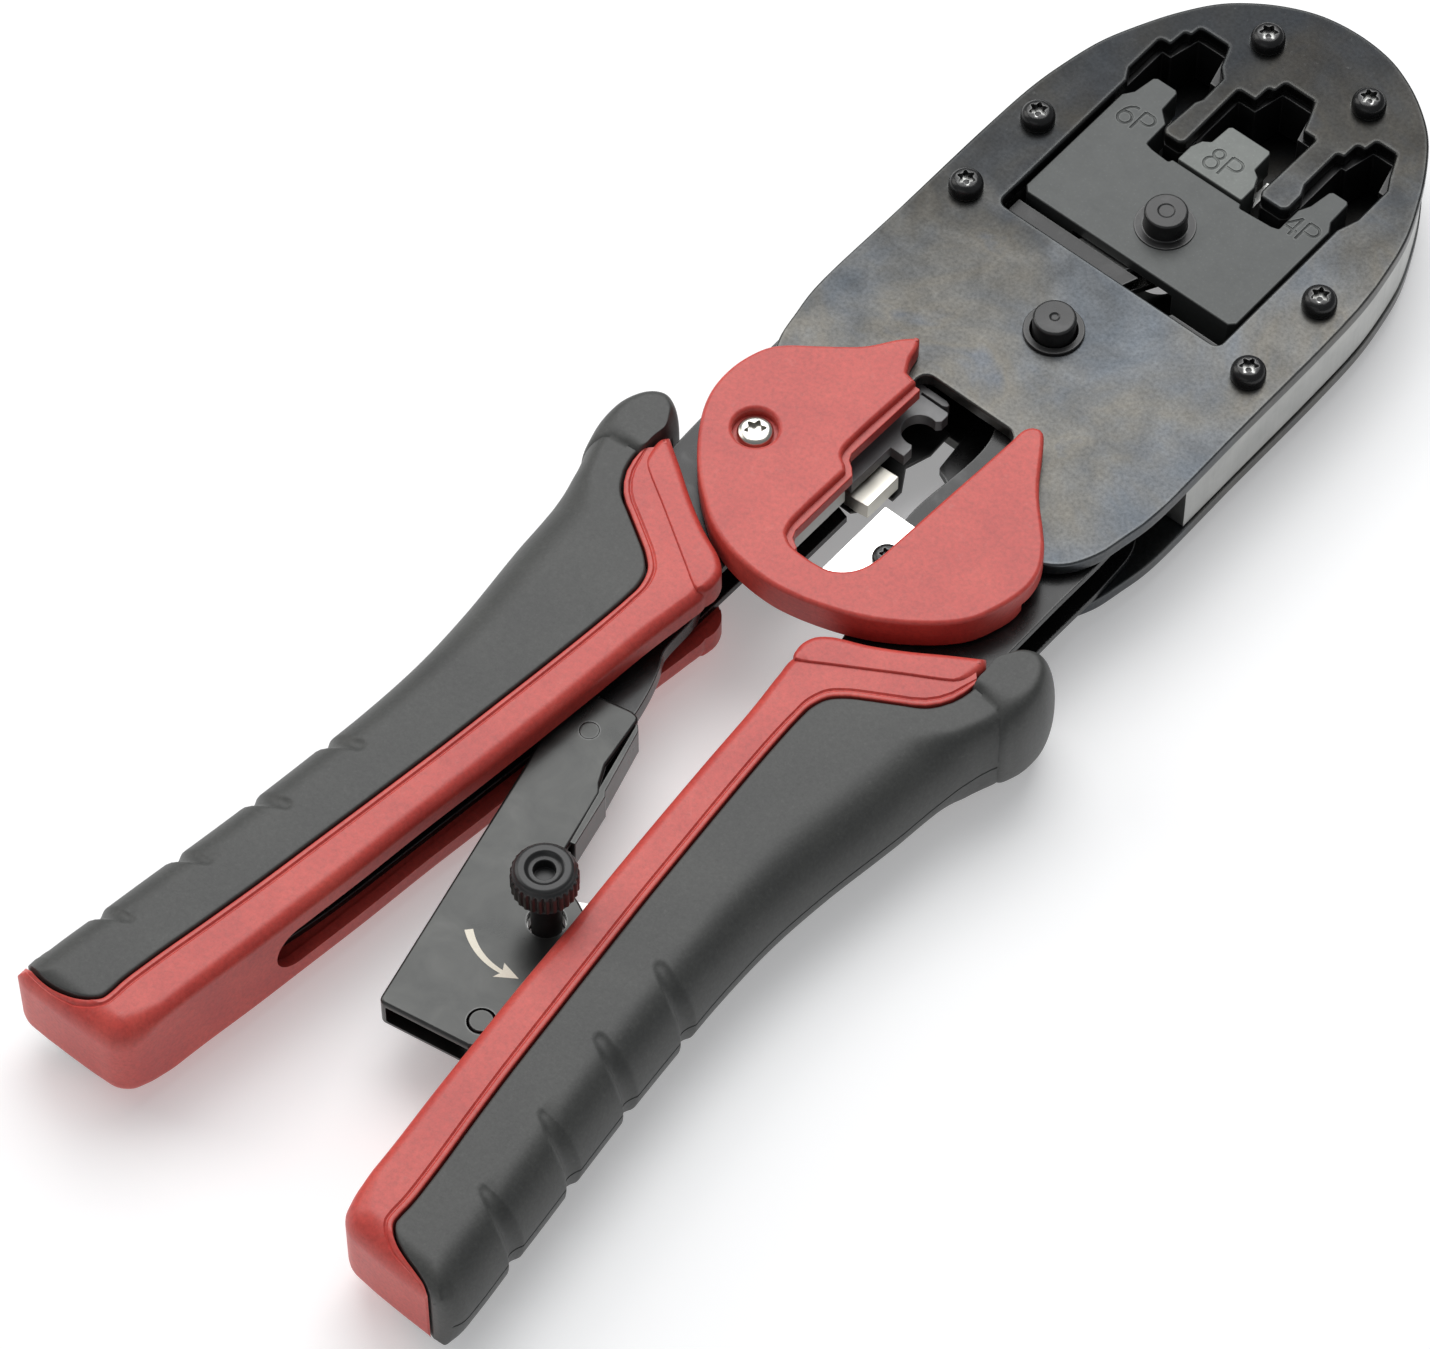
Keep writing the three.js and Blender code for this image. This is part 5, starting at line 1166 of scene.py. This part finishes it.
slot_deep = [(8.6, -40), (26.2, -40), (26.4, -46), (26.0, -52), (24.4, -60), (23.6, -72), (22.8, -84), (22.6, -96), (23.4, -108), (24.4, -118), (25.4, -130), (25.6, -137.3), (19.0, -137.3), (15.6, -129.3), (14.2, -118), (12.4, -100), (10.4, -78), (9.0, -62), (8.4, -56.5)]
collar = [(25.1, -43.95), (21.3, -46.4), (17.15, -49.2), (13.0, -51.6), (8.9, -53.5), (7.35, -54.9), (6.75, -56.6), (6.82, -57.7), (7.1, -58.6), (7.7, -59.15), (8.3, -59.05), (11.6, -57.06), (18.8, -52.6), (24.3, -49.2), (25.3, -48.2), (25.75, -46.6), (25.8, -44.9)]
horn_mid = [(26.3, -48.9), (26.15, -46.0), (26.0, -43.4), (26.5, -41.3), (27.5, -39.4), (29.6, -38.35), (31.6, -38.9), (33.3, -40.7), (34.4, -43.6), (34.5, -47.0), (34.0, -49.6), (33.2, -51.4), (31.0, -51.2), (28.4, -50.2)]
horn_top = [(26.55, -47.0), (26.45, -45.2), (26.35, -43.4), (27.2, -41.9), (28.0, -41.0), (29.3, -40.5), (30.4, -41.0), (31.1, -42.0), (31.6, -43.5), (31.5, -44.9), (30.9, -45.7), (29.9, -46.05), (28.9, -46.3), (27.8, -46.6)]


def grip(side, suffix, body, core_node, rubber_node):
    f = (lambda pts: [(x, y) for x, y in pts]) if side > 0 else (lambda pts: [(-x, y) for x, y in pts][::-1])
    core = core_mesh("grip_hard_" + suffix, side)
    ring = ccw(smooth(collar, 0.6, 60))
    ridge = np.array([(7.7, -59.15), (11.6, -57.06), (18.8, -52.6), (24.3, -49.2)])
    near_ridge = line_distance(np.array(ring), ridge)
    w = list(0.28 + 0.72 * np.clip((near_ridge - 0.2) / 1.6, 0, 1))
    if side < 0:
        ring, w = [(-x, y) for x, y in ring][::-1], w[::-1]
    col = plate("collar", ring, -7.58, 7.58, 1.1, 1.1, seg=6, weights=w)
    boolean(core, col, "UNION")
    # arm slot: wide inside, narrower through the inner face, with a round lower end
    deep = plate("cut", f(slot_deep), -SLOT_WIDE, SLOT_WIDE, 0)
    stadium = [(-36.0, -SLOT_MOUTH), (-36.0, SLOT_MOUTH), (-124.15, SLOT_MOUTH)] + [(-124.15 - SLOT_MOUTH * math.sin(a), SLOT_MOUTH * math.cos(a)) for a in np.linspace(0.1, math.pi - 0.1, 18)] + [(-124.15, -SLOT_MOUTH)]
    x0, x1 = (3.0, 18.0) if side > 0 else (-18.0, -3.0)
    throat = plate("cut2", stadium, x0, x1, 0, axes=((0, 0, 1), (1, 0, 0), (0, 1, 0)))
    boolean(core, deep, keep=True)
    boolean(core, throat)
    tidy(core)
    put(core, body, "red_plastic", M["red_plastic"], core_node, angle=40, join=False)
    rub = rubber_mesh("grip_soft_" + suffix, side)
    levels = []
    mid, top = np.array(horn_mid), np.array(horn_top)
    def ringed(p):
        return np.array(smooth([tuple(q) for q in p], 0.0, 400) if False else resample(p, 72))
    def resample(p, n):
        q = np.vstack([p[-2:], p, p[:3]])
        t = np.arange(len(q), dtype=float)
        return hermite(t, q, 2 + np.arange(n) / n * len(p))
    a, c = resample(mid, 84), resample(top, 84)
    verts, faces = [], []
    zs = []
    for k in range(15):
        th = math.pi / 2 * k / 14
        zs.append((7.95 * math.sin(th) ** 0.92, math.cos(th) ** 0.80))
    full = [(-z, w) for z, w in zs[:0:-1]] + zs
    for z, w in full:
        q = c + (a - c) * w
        verts += [(side * x, y, z) for x, y in q]
    n = 84
    for k in range(len(full) - 1):
        for i in range(n):
            j = (i + 1) % n
            faces.append((k * n + i, k * n + j, (k + 1) * n + j, (k + 1) * n + i))
    faces.append([i for i in range(n)][::-1])
    faces.append([(len(full) - 1) * n + i for i in range(n)])
    horn = new_object("horn", verts, faces)
    boolean(rub, horn, "UNION")
    boolean(rub, deep)
    tidy(rub)
    put(rub, body, "black_rubber", M["black_rubber"], rubber_node, angle=42, join=False)


grip(1, "moving", "lever", "grip_core_moving", "grip_rubber_moving")
grip(-1, "fixed", "frame", "grip_core_fixed", "grip_rubber_fixed")

# ------------------------------------------------------------------ floor and light
def floor_material():
    m = Nodes("floor")
    m.set(Base_Color=(0.80, 0.80, 0.80), Roughness=0.9, Specular_IOR_Level=0.1)
    m.bsdf.inputs["Emission Color"].default_value = (1, 1, 1, 1)
    m.bsdf.inputs["Emission Strength"].default_value = 0.30
    return m.mat


me = bpy.data.meshes.new("floor")
me.from_pydata([(-4, -4, -0.0003), (4, -4, -0.0003), (4, 4, -0.0003), (-4, 4, -0.0003)], [], [(0, 1, 2, 3)])
floor = bpy.data.objects.new("floor", me)
scene.collection.objects.link(floor)
me.materials.append(floor_material())

world = bpy.data.worlds.new("studio")
scene.world = world
world.use_nodes = True
wt = world.node_tree
bg = next(n for n in wt.nodes if n.type == "BACKGROUND")
bg.inputs["Color"].default_value = (0.92, 0.95, 1.0, 1)
bg.inputs["Strength"].default_value = 0.26


def softbox(name, at, target, size, power, color=(1, 1, 1)):
    d = bpy.data.lights.new(name, "AREA")
    d.shape, d.size, d.size_y, d.energy, d.color = "RECTANGLE", size[0], size[1], power, color
    o = bpy.data.objects.new(name, d)
    scene.collection.objects.link(o)
    o.location = at
    o.rotation_mode = "QUATERNION"
    o.rotation_quaternion = (Vector(target) - Vector(at)).to_track_quat("-Z", "Y")
    return o


softbox("top_box", (-0.42, 0.50, 1.05), (0, 0, 0), (1.1, 1.1), 13.5)
softbox("left_box", (-1.1, -0.25, 0.75), (0, 0, 0), (0.7, 0.9), 5.0, (1.0, 0.98, 0.95))
softbox("front_fill", (0.25, -1.3, 0.6), (0, 0, 0), (1.2, 0.5), 0.8)
